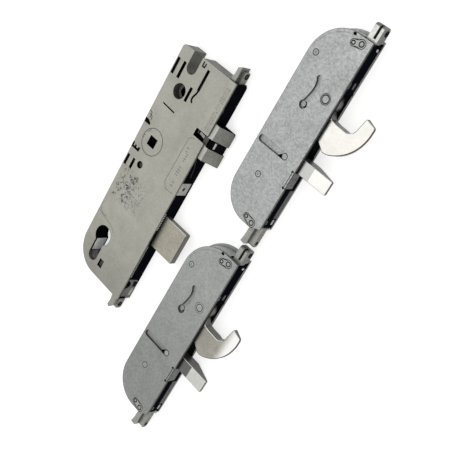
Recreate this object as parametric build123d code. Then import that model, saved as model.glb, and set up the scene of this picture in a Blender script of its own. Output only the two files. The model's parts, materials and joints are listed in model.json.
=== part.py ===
from build123d import *
import os
from math import atan2, cos, degrees, hypot, pi, radians, sin, tan

# Multipoint lock set lying on its back: a gearbox case and two hook-and-bolt cases.
# Millimetres. +Y runs up the lock, +X is the way the bolts throw, +Z points out of the
# front covers. The origin is on the spindle axis, at the underside of the cases.
# Rest is the locked state: latch, deadbolt, hooks and square bolts are all out.

# Fits shared by all three cases
shaft_gap = 0.05          # radial clearance of a shaft in its hole
slide_gap = 0.25          # between flat pieces that slide past each other
side_gap = 0.4            # beside a bolt in its window
flush_gap = 0.2           # under a cover
pin_slot_gap = 0.15       # each side of a pin in its slot

# Motion from locked to unlocked
rail_stroke = 22.0        # both rails and connectors move up by this
latch_stroke = 12.0
deadbolt_stroke = 22.5
bolt_stroke = 23.8
hook_swing = 84.5         # degrees
lever_swing = 60.0        # degrees

# Main case shell and cover
case_thk = 15.0
floor_thk = 2.0
case_wall = 1.4
cover_thk = 1.8
case_left = -17.0
case_edge = 43.4          # the side that meets the faceplate
case_top = 79.3
case_bottom = -124.5
case_corner_r = 24.0
case_ear_r = 3.0
strip_thk = 0.9
strip_lip = 2.2           # height of the strip's rear lip below the windows
strip_corner_r = 3.0
case_end_gap = 1.5        # the rail stops this far inside the case's ends

notch_x = 0.4             # open U-notch beside the ear at the top
notch_w = 10.2
notch_y = 62.3

# Layers inside the main case, measured from the underside
layer_gap = 0.3
cover_gap = 0.4
rail_thk = 2.3
bolt_z0 = floor_thk + layer_gap
rail_z1 = case_thk - cover_thk - cover_gap
rail_z0 = rail_z1 - rail_thk
bolt_z1 = rail_z0 - layer_gap

# Holes of the main case
spindle_w = 8.2
hub_ring_r = 10.9
hub_body_r = 10.8
hub_rear_r = 9.0
hub_hex_w = 19.0
hub_lug_deg = 154.0
hub_lug_w = 4.0
hub_lug_reach = 14.8
screw_hole_x = 0.2
screw_hole_y = 46.9
screw_hole_r = 6.2
screw_tube_r = 7.4
screw_bore_r = 4.2
screw_bore_len = 8.0
cyl_y = -92.0
cyl_r = 8.5
cyl_leg_w = 10.0
cyl_height = 33.0
cyl_rim = 1.4             # wall of the rims round the cylinder hole
cyl_rim_h = 2.2
stop_x = -0.3
stop_y = -21.7
stop_r = 2.2
stop_hole_r = 3.0
case_screw_r = 1.5
case_screw_head_r = 2.9
case_screw_head_h = 1.5
case_post_r = 3.2
screw_cross = (3.4, 0.7, 0.65)  # length, width and depth of the screw's cross recess
case_screw_places = [(-11.0, 71.5), (20.6, 72.0), (-11.2, -66.0), (27.0, -117.0)]

# Narrow openings of the main cover: centre x, centre y, width, length, turn
cover_slots = [
    (-14.7, 61.1, 2.8, 13.8, 90),
    (-7.6, 61.2, 2.9, 14.0, 90),
    (9.2, 49.4, 2.7, 12.0, 90),
    (15.8, 65.5, 2.7, 17.8, 90),
    (-1.4, 31.0, 1.1, 14.1, -3),
    (-14.9, -25.6, 2.7, 9.4, 90),
    (-7.9, -25.4, 2.7, 9.3, 90),
]
cover_recess = (11.4, -112.4, 5.0, 7.0)   # centre x, centre y, width, height
cover_window = (12.4, 27.6, 34.0)         # depth from the edge, low y, high y
wall_openings = [
    [(-17.5, 9.3), (-10.2, 9.3), (-10.2, 11.0), (-13.5, 12.9), (-17.5, 12.9)],
    [(-17.5, -14.4), (-7.7, -14.4), (-7.7, -10.7), (-9.6, -10.7), (-9.6, -12.5),
     (-12.0, -12.5), (-12.0, -10.9), (-13.6, -10.9), (-13.6, -12.5), (-15.2, -12.5),
     (-15.2, -9.8), (-17.5, -9.8)],
]
tail_slot_points = [(15.8, 57.0), (15.3, 53.4), (14.2, 50.2), (14.4, 47.6), (16.0, 46.2)]
tail_slot_w = 1.6

# Fixing block at the edge
boss_y0 = -20.3
boss_y1 = -9.2
boss_depth = 6.4
boss_thread_r = 1.65

# Latch
latch_y0 = 14.9
latch_y1 = 45.2
latch_gap_y0 = 26.0
latch_gap_y1 = 33.2
latch_face_z = case_thk - cover_thk - flush_gap
latch_back = 0.5          # head's plate inside the case's edge
latch_flat_len = 4.3      # from the plate's rear to the slope
latch_head_len = 14.1
latch_carriage_len = 11.4
latch_x0 = case_edge - latch_back
latch_flat_x = latch_x0 + latch_flat_len
latch_tip_x = latch_x0 + latch_head_len
latch_tip_z = 3.6
latch_carriage_x0 = latch_x0 - latch_carriage_len
tail_y = 29.5
tail_z = (bolt_z0 + bolt_z1) / 2
tail_r = 2.0
tail_x0 = -3.0
guide_x0 = 3.0
guide_len = 6.0
guide_w = 9.0
latch_plate = 1.6         # plate behind the head's gap
latch_corner_r = 1.6
carriage_inset = 4.0
insert_drop = 1.6         # insert below the head's faces
insert_slope = (0.6, 0.2)   # the insert's slope starts and ends this much inside the head's
slit_from = 6.5           # slit from the plate's rear
slit_w = 0.8
spring_gap = 0.35
spring_wire_r = 0.45
spring_turns = 8

# Rack and sector between follower and rail
gear_module = 1.5
head_pass_gap = 0.7       # rail to the drawn-in latch head
boss_pass_gap = 0.8       # rail to the fixing block
rail_band_w = 6.2         # rail from the rack's pitch line to its far side
bypass_x1 = latch_x0 - latch_stroke - head_pass_gap
bypass_low_x1 = case_edge - boss_depth - boss_pass_gap
gear_pitch_r = bypass_x1 - rail_band_w
pressure_deg = 20.0
tooth_backlash = 0.16
gear_tip_cut = 0.1
dedendum = 1.25           # tooth depth below the pitch line, in modules
rack_reach = 11.0         # rack teeth run on past the mesh point by this
sector_collar = 4.5
sector_from = -66.0
sector_to = 14.0

# Rail of the main case
spine_w = 7.0
spine_gap = 0.6           # spine to the edge strip
rail_root_extra = 0.3
rail_band_lap = 0.05
rail_link_h = 5.0
latch_clear = 1.0         # along the rail, to the latch head and to the boss
rail_rivet_inset = (6.0, 20.0)

# Deadbolt and its lever
deadbolt_y0 = -69.0
deadbolt_y1 = -40.9
deadbolt_throw = 24.6     # past the case's edge
deadbolt_len = 48.0
deadbolt_head_thk = 5.3   # the tail inside the case is as thick as its layer
deadbolt_pin_inset = 5.25
deadbolt_pin_depth = 6.2
deadbolt_x1 = case_edge + deadbolt_throw
deadbolt_x0 = deadbolt_x1 - deadbolt_len
deadbolt_pin_x = deadbolt_x0 + deadbolt_pin_inset
deadbolt_pin_y = -53.0
deadbolt_pin_r = 2.4
deadbolt_pin_z0 = bolt_z1 - deadbolt_pin_depth
deadbolt_head_z0 = bolt_z1 - deadbolt_head_thk
deadbolt_corner_r = 1.4
deadbolt_edge = 0.35
lever_offset = deadbolt_stroke / 2   # the pin passes over the lever's post at half stroke
lever_x = deadbolt_pin_x - lever_offset
lever_y = -72.0
lever_post_r = 2.5
lever_eye_r = 5.6
lever_arm_w = 9.0
lever_tail_len = 13.0
lever_tail_r = 3.2
lever_tail_deg = 150.0

# Return spring of the follower, along the left wall
return_spring_x = -13.35
return_spring_mean_r = 1.65
return_spring_wire_r = 0.35
return_spring_y0 = -27.0
return_spring_y1 = 3.4
return_spring_turns = 13
spring_seat_len = 2.0
spring_seat_w = 4.6

# End connectors of the main rail
stem_len = 27.0
conn_z0 = bolt_z0 + layer_gap
conn_cross_r = 1.7
rivet_r = 1.4
rivet_foot = 0.2          # metal left under a blind rivet
rivet_z0 = conn_z0 + rivet_foot
# From the spine's left side and the case's top
top_head_points = [(0, -1.5), (4.6, -1.5), (4.6, 12.4), (1.2, 10.5), (1.2, 5.0), (0, 2.0)]
top_lobe_w = 2.4
top_lobe_len = 9.9
top_lobe_z1 = 8.2
top_lobe_r = 2.0
top_panel = (0.6, 2.4, 8.6, 9.0, 11.6)    # depth, low y, high y, low z, high z
top_cross = (6.4, 5.4)                    # y past the case's top, z
# From the spine's left side and the case's bottom
foot_points = [(0, 1.5), (5.5, 1.5), (6.4, -8.2), (2.4, -13.0), (0.4, -11.2), (1.0, -6.5), (0, 0)]
foot_split_z = 9.0
nub_len = 11.4
nub_inset = 1.2
nub_r = 1.6
bottom_cross = (7.2, 6.0)                 # y past the case's bottom, z

# Hook case
hc_thk = 15.4
hc_plate = 1.5
hc_wall = 1.2
hc_left = -32.0
hc_edge = 9.2
hc_top = 48.5
hc_bottom = -107.5
hc_top_r = 28.6
hc_bottom_r = 24.3
hc_tray_rise = 2.4        # how far the back tray stands above the front plate
hc_bottom_edge_y = -104.0
hc_strip = 0.8
hc_strip_y0 = -101.5
hc_strip_y1 = 46.1
hc_foot_cut = 9.0         # width of the slanted corner at the bottom
hc_gate_top = (-1.3, 4.0)     # left side and depth of the opening in the top wall
hc_gate_low = (-2.9, 6.0)

# Where the hook pivots of the two hook cases lie
upper_pivot = (113.4, 110.3)
lower_pivot = (113.4, -74.3)

# Drive plate layer of the hook case
plate_thk = 1.4
plate_z1 = hc_thk - hc_plate - flush_gap
plate_z0 = plate_z1 - plate_thk

# Hook
hook_thk = 8.0
hook_plate_gap = 0.6
hook_z1 = plate_z0 - hook_plate_gap
hook_z0 = hook_z1 - hook_thk
pivot_r = 3.5
pivot_flange_r = 4.1
pivot_ring_r = 2.6
hook_hub_r = 8.2
hook_arm_over = 4.4       # how far the arm runs on past its pin
hook_arm_w = 14.0
hook_arm_lead = 5.0       # degrees that the arm's middle lies past its pin
hook_window_y1 = 10.0
hook_taper_x0 = 22.0      # the underside rises from here on
hook_taper_x1 = 42.0
hook_tip_thk = 2.0
drive_pin = (-14.1, -12.1)
throat_points = ((9.8, -9.4), (15.0, -10.2), (24.6, -10.5))
throat_end = ((29.0, -7.6), (30.6, -3.0), (32.3, 5.4))
nose_points = ((40.4, 3.6), (41.3, 2.6), (41.5, 0.8))
back_points = ((36.2, -18.6), (22.6, -30.4), (19.6, -31.4), (16.4, -31.6))
root_points = ((5.0, -24.0), (-6.5, -5.0), (-2.0, 7.0))
pin_r = 2.35
drive_pin_lift = 0.5
drive_pin_z0 = hook_z0 + drive_pin_lift

# Outline of the drive plate
leg_x0 = -17.6
leg_x1 = -6.0
cross_y0 = 6.3
cross_y1 = 16.5
link_x0 = 0.9
link_x1 = 7.0
ramp_w = 11.3
ramp_run_on = 6.0         # the slot's open end runs on past the pin's travel
leg_lap = 12.0
low_web_h = 6.0
wing_h = 9.0              # wing that closes the bolt pin's slot from below
pin_relief = 1.3

# Square bolt of the hook case
sq_y0 = -54.5
sq_y1 = -43.4
sq_x0 = -8.3
sq_x1 = 36.1
sq_thk = 10.0
sq_z1 = plate_z0 - layer_gap
sq_z0 = sq_z1 - sq_thk
sq_corner_r = 1.0
sq_edge = 0.3
sq_taper_x0 = 18.0        # the underside rises from here on
sq_tip_thk = 2.4
bolt_pin = (-4.3, -49.7)
bolt_pin_depth = 5.0
bolt_pin_z0 = sq_z1 - bolt_pin_depth

# Fixed rivets, keys and block of the hook case
rivet_a = (-25.4, 21.9)
rivet_c = (-15.65, -72.25)
case_rivet_r = 2.1
case_rivet_shoulder_r = 2.6
rivet_dimple_r = 0.8
ring_w = 0.35             # pressed rings on keys and pivot
ring_depth = 0.3
key_top = ((-4.3, 41.5), (1.85, 43.4))
key_bottom = ((-6.3, -102.6), (0.2, -104.2))
key_small_r = 2.4
key_large_r = 3.2
key_shank_r = 1.3
key_waist_drop = 0.1
key_ring_r = (1.5, 2.0)
block_y0 = -67.9
block_y1 = -54.7
block_x0 = 7.5
block_z0 = 6.0
block_relief_r = 0.9

# Slot and pin window in the front plate of the hook case
arc_slot_points = [(-13.4, -11.0), (-11.4, -3.0), (-10.9, 3.4), (-12.4, 8.4)]
arc_slot_w = 3.4
arc_slot_end = (-12.7, 9.0)
arc_slot_end_r = 1.9
pin_window = (0.9, 0.8)   # shift along X and clearance round the drive pin

# End connectors of the hook case
hconn_x0 = 0.9
hconn_x1 = 9.1
hconn_low_x1 = 8.1
hconn_h = 8.7
hconn_z0 = plate_z0 - hconn_h
hconn_len = 12.2
hconn_foot_len = 14.4
hconn_groove = (4.0, 2.0, 2.0, 4.0)   # from the left side, width, start past the case, depth
hconn_stem_len = 24.0
hconn_stem_x1 = 7.0
hconn_head_r = 2.6
hconn_cross_rise = 2.6
hconn_cross_z = hconn_z0 + hconn_cross_rise
hconn_cross_inset = (4.2, 4.6)        # of the top and the bottom hole, from the end
hconn_split_x = 3.5
hconn_low_r = 2.0
hconn_low_drop = 3.0
hconn_end_gap = 0.6
hconn_rivet_inset = (5.0, 20.0)
# Left bar of the bottom connector: x, and y past the foot; None is inside the case
left_bar_points = [(-0.7, None), (3.5, None), (3.5, 1.4), (2.1, 0), (-2.1, 0.4), (-1.3, 4.6)]

parts = {}


def box(x0, x1, y0, y1, z0, z1):
    """Box from its six limits."""
    centre = Pos((x0 + x1) / 2, (y0 + y1) / 2, (z0 + z1) / 2)
    return centre * Box(x1 - x0, y1 - y0, z1 - z0)


def rod(x, y, r, z0, z1):
    """Upright cylinder from its centre, radius and two levels."""
    return Pos(x, y, (z0 + z1) / 2) * Cylinder(r, z1 - z0)


def cross_rod(x0, x1, y, z, r):
    """Cylinder along X."""
    return Pos((x0 + x1) / 2, y, z) * Rot(0, 90, 0) * Cylinder(r, x1 - x0)


def raised(face, z0, z1):
    """Face drawn at z = 0, given height between two levels."""
    return Pos(0, 0, z0) * extrude(face, z1 - z0)


def polygon(points):
    return make_face(Polyline(*points, close=True))


def slot_between(a, b, width):
    """Round-ended slot whose end centres are a and b."""
    length = hypot(b[0] - a[0], b[1] - a[1])
    turn = degrees(atan2(b[1] - a[1], b[0] - a[0]))
    middle = Pos((a[0] + b[0]) / 2, (a[1] + b[1]) / 2)
    return middle * Rot(0, 0, turn) * SlotCenterToCenter(length, width)


def polar(x, y, r, deg):
    return (x + r * cos(radians(deg)), y + r * sin(radians(deg)))


def swept_slot(centre, pin, travel, swing, width, steps=12):
    """Slot in a swinging piece that a pin on a slide runs through.

    centre is the pivot, pin the pin's place at rest, travel its whole move (dx, dy) and
    swing the piece's whole turn in degrees. Each short stretch of the pin's path, seen
    from the turning piece, is one round-ended slot.
    """
    places = []
    for i in range(steps + 1):
        share = i / steps
        dx = pin[0] + share * travel[0] - centre[0]
        dy = pin[1] + share * travel[1] - centre[1]
        back = degrees(atan2(dy, dx)) - share * swing
        places.append(polar(*centre, hypot(dx, dy), back))
    slot = None
    for a, b in zip(places, places[1:]):
        stretch = slot_between(a, b, width)
        slot = stretch if slot is None else slot + stretch
    return slot


def main_outline(inset=0.0, edge=case_edge):
    """Outline of the main case, drawn in by inset; edge is its X limit on the open side."""
    left = case_left + inset
    top = case_top - inset
    bottom = case_bottom + inset
    plate = polygon([(left, bottom), (edge, bottom), (edge, top), (left, top)])
    low_left = plate.vertices().sort_by(Axis.X)[:2].sort_by(Axis.Y)[0]
    plate = fillet(low_left, case_corner_r - inset)
    high_left = plate.vertices().sort_by(Axis.X).sort_by(Axis.Y)[-2:].sort_by(Axis.X)[0]
    plate = fillet(high_left, max(case_ear_r - inset, 0.5))
    notch = slot_between((notch_x, notch_y + notch_w / 2), (notch_x, top + notch_w), notch_w + 2 * inset)
    return plate - notch


def cylinder_profile(grow=0.0):
    """Keyhole outline of the lock cylinder, grown outwards."""
    foot_y = cyl_y + cyl_r - cyl_height + cyl_leg_w / 2
    barrel = Pos(0, cyl_y) * Circle(cyl_r + grow)
    leg = slot_between((0, cyl_y), (0, foot_y), cyl_leg_w + 2 * grow)
    return barrel + leg


def main_shell():
    edge = case_edge - strip_thk
    rim_z = case_thk - cover_thk
    shell = raised(main_outline(0, edge), 0, rim_z)
    pocket = raised(main_outline(case_wall, edge + case_wall), floor_thk, rim_z + 1)
    shell -= pocket
    shell += rod(screw_hole_x, screw_hole_y, screw_tube_r, floor_thk, rim_z)
    shell -= rod(screw_hole_x, screw_hole_y, screw_hole_r, screw_bore_len, case_thk)
    shell -= rod(screw_hole_x, screw_hole_y, screw_bore_r, -1, case_thk)
    shell += raised(cylinder_profile(cyl_rim), floor_thk, floor_thk + cyl_rim_h)
    shell -= raised(cylinder_profile(), -1, case_thk)
    shell -= rod(0, 0, hub_rear_r + shaft_gap, -1, floor_thk + 1)
    for x, y in case_screw_places:
        shell -= rod(x, y, case_screw_r + shaft_gap, -1, floor_thk + 1)
        shell -= Pos(x, y, case_screw_head_h / 2) * Cone(
            case_screw_head_r + shaft_gap, case_screw_r + shaft_gap, case_screw_head_h
        )
    window_x0 = case_edge - strip_thk - spine_gap - spine_w - slide_gap
    for y in (case_top, case_bottom):
        shell -= box(window_x0, case_edge, y - 2 * case_wall, y + 2 * case_wall, floor_thk, case_thk)
    for x, y, r in ((stop_x, stop_y, stop_r), (lever_x, lever_y, lever_post_r)):
        shell -= rod(x, y, r, floor_thk / 2, floor_thk + 1)
    seat_y0 = return_spring_y0 - spring_seat_len
    seat_x0 = case_left + case_wall
    shell += box(seat_x0, seat_x0 + spring_seat_w, seat_y0, return_spring_y0, floor_thk, bolt_z1)
    parts["main_back_shell"] = shell


def main_cover():
    z0 = case_thk - cover_thk
    cover = raised(main_outline(), z0, case_thk)
    for x, y in case_screw_places:
        cover += rod(x, y, case_post_r, floor_thk, z0)
    cover += raised(cylinder_profile(cyl_rim), z0 - cyl_rim_h, z0)
    for x, y in case_screw_places:
        cover -= rod(x, y, case_screw_r, floor_thk - 1, z0)
    cuts = Sketch() + cylinder_profile()
    for x, y, width, length, turn in cover_slots:
        cuts += Pos(x, y) * Rot(0, 0, turn) * Rectangle(length, width)
    cuts += Pos(screw_hole_x, screw_hole_y) * Circle(screw_hole_r)
    cuts += Circle(hub_ring_r + shaft_gap)
    cuts += Pos(stop_x, stop_y) * Circle(stop_hole_r)
    depth, window_y0, window_y1 = cover_window
    cuts += Pos(case_edge - depth / 2, (window_y0 + window_y1) / 2) * Rectangle(
        depth + 0.01, window_y1 - window_y0
    )
    x, y, width, height = cover_recess
    cuts += Pos(x, y) * Rectangle(width, height)
    for opening in wall_openings:
        cuts += polygon(opening)
    cuts += trace(Spline(*tail_slot_points), tail_slot_w)
    cover -= raised(cuts, z0 - 0.05, case_thk + 1)
    cover -= raised(cylinder_profile(), floor_thk, case_thk)
    parts["main_front_cover"] = cover


def main_strip():
    x0 = case_edge - strip_thk
    z1 = case_thk - cover_thk
    strip = box(x0, case_edge, case_bottom, case_top, 0, z1)
    rear_top = strip.edges().filter_by(Axis.X).group_by(Axis.Z)[0].sort_by(Axis.Y)[-1]
    strip = fillet(rear_top, strip_corner_r)
    strip -= box(x0 - 1, case_edge + 1, latch_y0 - side_gap, latch_y1 + side_gap, strip_lip, z1 + 1)
    strip -= box(x0 - 1, case_edge + 1, boss_y0, boss_y1, strip_lip, z1 + 1)
    strip -= box(
        x0 - 1, case_edge + 1, deadbolt_y0 - side_gap, deadbolt_y1 + side_gap,
        deadbolt_head_z0 - slide_gap, bolt_z1 + slide_gap,
    )
    parts["main_edge_strip"] = strip


def main_fixings():
    x0 = case_edge - boss_depth
    boss = box(x0, case_edge, boss_y0, boss_y1, strip_lip, case_thk - cover_thk)
    boss_y = (boss_y0 + boss_y1) / 2
    boss_z = (strip_lip + case_thk - cover_thk) / 2
    boss -= cross_rod(x0 - 1, case_edge + 1, boss_y, boss_z, boss_thread_r)
    boss += box(x0, case_edge - strip_thk, boss_y0, boss_y1, floor_thk, strip_lip)
    parts["main_edge_boss"] = boss

    screws = []
    screw_top = case_thk - cover_thk - slide_gap
    length, width, depth = screw_cross
    for x, y in case_screw_places:
        head = Pos(x, y, case_screw_head_h / 2) * Cone(case_screw_head_r, case_screw_r, case_screw_head_h)
        screw = head + rod(x, y, case_screw_r, case_screw_head_h, screw_top)
        for half_x, half_y in ((length / 2, width / 2), (width / 2, length / 2)):
            screw -= box(x - half_x, x + half_x, y - half_y, y + half_y, -1, depth)
        screws.append(screw)
    parts["main_case_screws"] = Compound(children=screws)
    parts["main_stop_post"] = rod(stop_x, stop_y, stop_r, floor_thk / 2, rail_z1)
    parts["main_lever_pivot"] = rod(lever_x, lever_y, lever_post_r, floor_thk / 2, case_thk - cover_thk)
    parts["main_latch_guide"] = (
        box(guide_x0, guide_x0 + guide_len, tail_y - guide_w / 2, tail_y + guide_w / 2,
            floor_thk, bolt_z1)
        - cross_rod(guide_x0 - 1, guide_x0 + guide_len + 1, tail_y, tail_z, tail_r + shaft_gap)
    )


def tooth_flank(root_r, tip_r, half_at_pitch, steps=5):
    """Points (r, half angle) on one involute flank, from root to tip."""
    base_r = gear_pitch_r * cos(radians(pressure_deg))
    at_pitch = tan(radians(pressure_deg)) - radians(pressure_deg)
    points = []
    for i in range(steps + 1):
        r = max(root_r, base_r) + (tip_r - max(root_r, base_r)) * i / steps
        roll = (max(r / base_r, 1.0) ** 2 - 1) ** 0.5
        involute = roll - atan2(roll, 1)
        points.append((r, half_at_pitch + at_pitch - involute))
    if root_r < base_r:
        points.insert(0, (root_r, points[0][1]))
    return points


def gear_sector():
    pitch = pi * gear_module
    tooth_angle = degrees(pitch / gear_pitch_r)
    tip_r = gear_pitch_r + gear_module - gear_tip_cut
    root_r = gear_pitch_r - dedendum * gear_module
    half = (pitch / 4 - tooth_backlash / 2) / gear_pitch_r
    flank = tooth_flank(root_r, tip_r, half)
    body = Circle(root_r) & polygon([(0, 0)] + [
        polar(0, 0, 2 * root_r, sector_from + (sector_to - sector_from) * i / 8) for i in range(9)
    ])
    sector = body + Circle(hub_hex_w / 2 + sector_collar)
    first = int(sector_from // tooth_angle) + 1
    last = int(sector_to // tooth_angle)
    for k in range(first, last + 1):
        middle = k * tooth_angle
        outline = [polar(0, 0, r, middle - degrees(a)) for r, a in flank]
        outline += [polar(0, 0, r, middle + degrees(a)) for r, a in reversed(flank)]
        foot = [polar(0, 0, root_r - 1, middle + degrees(flank[0][1])),
                polar(0, 0, root_r - 1, middle - degrees(flank[0][1]))]
        sector += polygon(outline + foot)
    sector -= RegularPolygon(hub_hex_w / 2 + shaft_gap, 6, major_radius=False)
    return sector


def main_follower():
    hub = rod(0, 0, hub_rear_r, 0.2, bolt_z0)
    hub += rod(0, 0, hub_body_r, bolt_z0, bolt_z1)
    hub += Rot(0, 0, hub_lug_deg) * box(0, hub_lug_reach, -hub_lug_w / 2, hub_lug_w / 2, bolt_z0, bolt_z1)
    hub += raised(RegularPolygon(hub_hex_w / 2, 6, major_radius=False), bolt_z1, rail_z1)
    hub += rod(0, 0, hub_ring_r, rail_z1, case_thk)
    hub -= box(-spindle_w / 2, spindle_w / 2, -spindle_w / 2, spindle_w / 2, -1, case_thk + 1)
    parts["main_follower"] = hub
    parts["main_gear_sector"] = raised(gear_sector(), rail_z0, rail_z1)
    wire = coil(
        0, return_spring_y1 - return_spring_y0, 0, 0, return_spring_mean_r,
        return_spring_wire_r, return_spring_turns,
    )
    parts["main_follower_spring"] = Pos(return_spring_x, return_spring_y0, tail_z) * Rot(0, 0, 90) * wire


def rack_teeth(y_low, y_high):
    """Rack teeth between two levels; a space of the rack is centred on y = 0."""
    pitch = pi * gear_module
    slope = tan(radians(pressure_deg))
    half = pitch / 4 - tooth_backlash / 2
    tip = gear_module - gear_tip_cut
    root = dedendum * gear_module + rail_root_extra
    teeth = Sketch()
    k = int(y_low // pitch) + 1
    while (k + 0.5) * pitch + pitch / 2 < y_high:
        y = (k + 0.5) * pitch
        if (k + 0.5) * pitch - pitch / 2 > y_low:
            teeth += polygon([
                (gear_pitch_r - tip, y - half + tip * slope),
                (gear_pitch_r + root, y - half - root * slope),
                (gear_pitch_r + root, y + half + root * slope),
                (gear_pitch_r - tip, y + half - tip * slope),
            ])
        k += 1
    return teeth


def main_rail():
    spine_x1 = case_edge - strip_thk - spine_gap
    spine_x0 = spine_x1 - spine_w
    band_x0 = gear_pitch_r + dedendum * gear_module + rail_root_extra - rail_band_lap
    high = latch_y1 + latch_clear
    low = boss_y0 - rail_stroke - latch_clear
    middle = boss_y1 + latch_clear
    top = case_top - case_end_gap
    bottom = case_bottom + case_end_gap
    rail = Sketch()
    for x0, x1, y0, y1 in (
        (band_x0, bypass_x1, low, high + rail_link_h),
        (band_x0, bypass_low_x1, low, middle),
        (spine_x0, spine_x1, high, top),
        (band_x0, spine_x1, high, high + rail_link_h),
        (spine_x0, spine_x1, bottom, low),
        (band_x0, spine_x1, low - rail_link_h, low),
    ):
        rail += Pos((x0 + x1) / 2, (y0 + y1) / 2) * Rectangle(x1 - x0, y1 - y0)
    rail += rack_teeth(-rail_stroke - rack_reach, rack_reach)
    solid = raised(rail, rail_z0, rail_z1)
    top_conn = rail_top_connector(spine_x0, spine_x1, top)
    bottom_conn = rail_bottom_connector(spine_x0, spine_x1, bottom)

    rivets = []
    spine_mid = (spine_x0 + spine_x1) / 2
    for inset in rail_rivet_inset:
        top_conn -= rod(spine_mid, top - inset, rivet_r, rivet_z0, rail_z1)
        bottom_conn -= rod(spine_mid, bottom + inset, rivet_r, rivet_z0, rail_z1)
        for y in (top - inset, bottom + inset):
            solid -= rod(spine_mid, y, rivet_r, rail_z0 - 1, rail_z1 + 1)
            rivets.append(rod(spine_mid, y, rivet_r, rivet_z0, rail_z1))
    parts["main_drive_rail"] = solid
    parts["main_rail_rivets"] = Compound(children=rivets)
    parts["main_top_connector"] = top_conn
    parts["main_bottom_connector"] = bottom_conn


def shifted(points, x, y):
    return [(x + px, y + py) for px, py in points]


def rail_top_connector(x0, x1, y0):
    """Stem under the rail's spine and the grooved head above the case."""
    conn = box(x0, x1, case_top - stem_len, y0, conn_z0, rail_z0)
    conn += raised(polygon(shifted(top_head_points, x0, case_top)), conn_z0, rail_z1)
    lobe = box(x1 - top_lobe_w, x1, y0, case_top + top_lobe_len, conn_z0, top_lobe_z1)
    conn += fillet(lobe.edges().filter_by(Axis.X).group_by(Axis.Y)[-1], top_lobe_r)
    depth, panel_y0, panel_y1, panel_z0, panel_z1 = top_panel
    conn -= box(
        x1 - top_lobe_w - depth, x1, case_top + panel_y0, case_top + panel_y1, panel_z0, panel_z1
    )
    return conn - cross_rod(x0 - 1, x1 + 1, case_top + top_cross[0], top_cross[1], conn_cross_r)


def rail_bottom_connector(x0, x1, y1):
    """Stem under the rail's spine and the split foot below the case."""
    conn = box(x0, x1, y1, case_bottom + stem_len, conn_z0, rail_z0)
    conn += raised(polygon(shifted(foot_points, x0, case_bottom)), foot_split_z, rail_z1)
    nub = box(x0 + nub_inset, x1, case_bottom - nub_len, y1, conn_z0, foot_split_z)
    conn += fillet(nub.edges().filter_by(Axis.X).group_by(Axis.Y)[0], nub_r)
    return conn - cross_rod(
        x0 - 1, x1 + 1, case_bottom - bottom_cross[0], bottom_cross[1], conn_cross_r
    )


def coil(x0, x1, y, z, mean_r, wire_r, turns):
    """Compression spring along X, one helix of round wire."""
    pitch = (x1 - x0 - 2 * wire_r) / turns
    path = Helix(pitch, pitch * turns, mean_r)
    section = Plane(path @ 0, z_dir=path % 0) * Circle(wire_r)
    wire = sweep(section, path)
    return Pos(x0 + wire_r, y, z) * Rot(0, 90, 0) * wire


def main_latch():
    z0 = bolt_z0
    profile = Plane.XZ * make_face(Polyline(
        (latch_x0, z0), (latch_tip_x, z0), (latch_tip_x, latch_tip_z),
        (latch_flat_x, latch_face_z), (latch_x0, latch_face_z), close=True,
    ))
    head = Pos(0, latch_y1, 0) * extrude(profile, latch_y1 - latch_y0)
    back_edge = head.edges().filter_by(Axis.Z).group_by(Axis.X)[-1].sort_by(Axis.Y)[-1]
    head = fillet(back_edge, latch_corner_r)
    gap = box(latch_x0 + latch_plate, latch_tip_x + 1, latch_gap_y0, latch_gap_y1, z0 - 1, latch_face_z + 1)
    head -= gap
    carriage = box(
        latch_carriage_x0, latch_x0 + 0.1, latch_y0 + carriage_inset, latch_y1 - carriage_inset,
        z0, bolt_z1,
    )
    tail = cross_rod(tail_x0, latch_carriage_x0 + 0.1, tail_y, tail_z, tail_r)
    parts["main_latch_bolt"] = head + carriage + tail

    insert_x0 = latch_x0 + latch_plate
    insert_x1 = latch_tip_x - insert_drop
    slope_x = latch_flat_x - insert_slope[0]
    insert_z1 = latch_face_z - insert_drop
    insert_profile = Plane.XZ * make_face(Polyline(
        (insert_x0, z0), (insert_x1, z0), (insert_x1, latch_tip_z + insert_slope[1]),
        (slope_x, insert_z1), (insert_x0, insert_z1), close=True,
    ))
    insert = Pos(0, latch_gap_y1, 0) * extrude(insert_profile, latch_gap_y1 - latch_gap_y0)
    slit_x0 = latch_x0 + slit_from
    insert -= box(slit_x0, slit_x0 + slit_w, latch_gap_y0 + 1, latch_gap_y1 - 1, z0 + 2, case_thk)
    parts["main_latch_insert"] = insert
    spring_x0 = guide_x0 + guide_len
    parts["main_latch_spring"] = coil(
        spring_x0, latch_carriage_x0, tail_y, tail_z, tail_r + spring_gap + spring_wire_r,
        spring_wire_r, spring_turns,
    )


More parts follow.
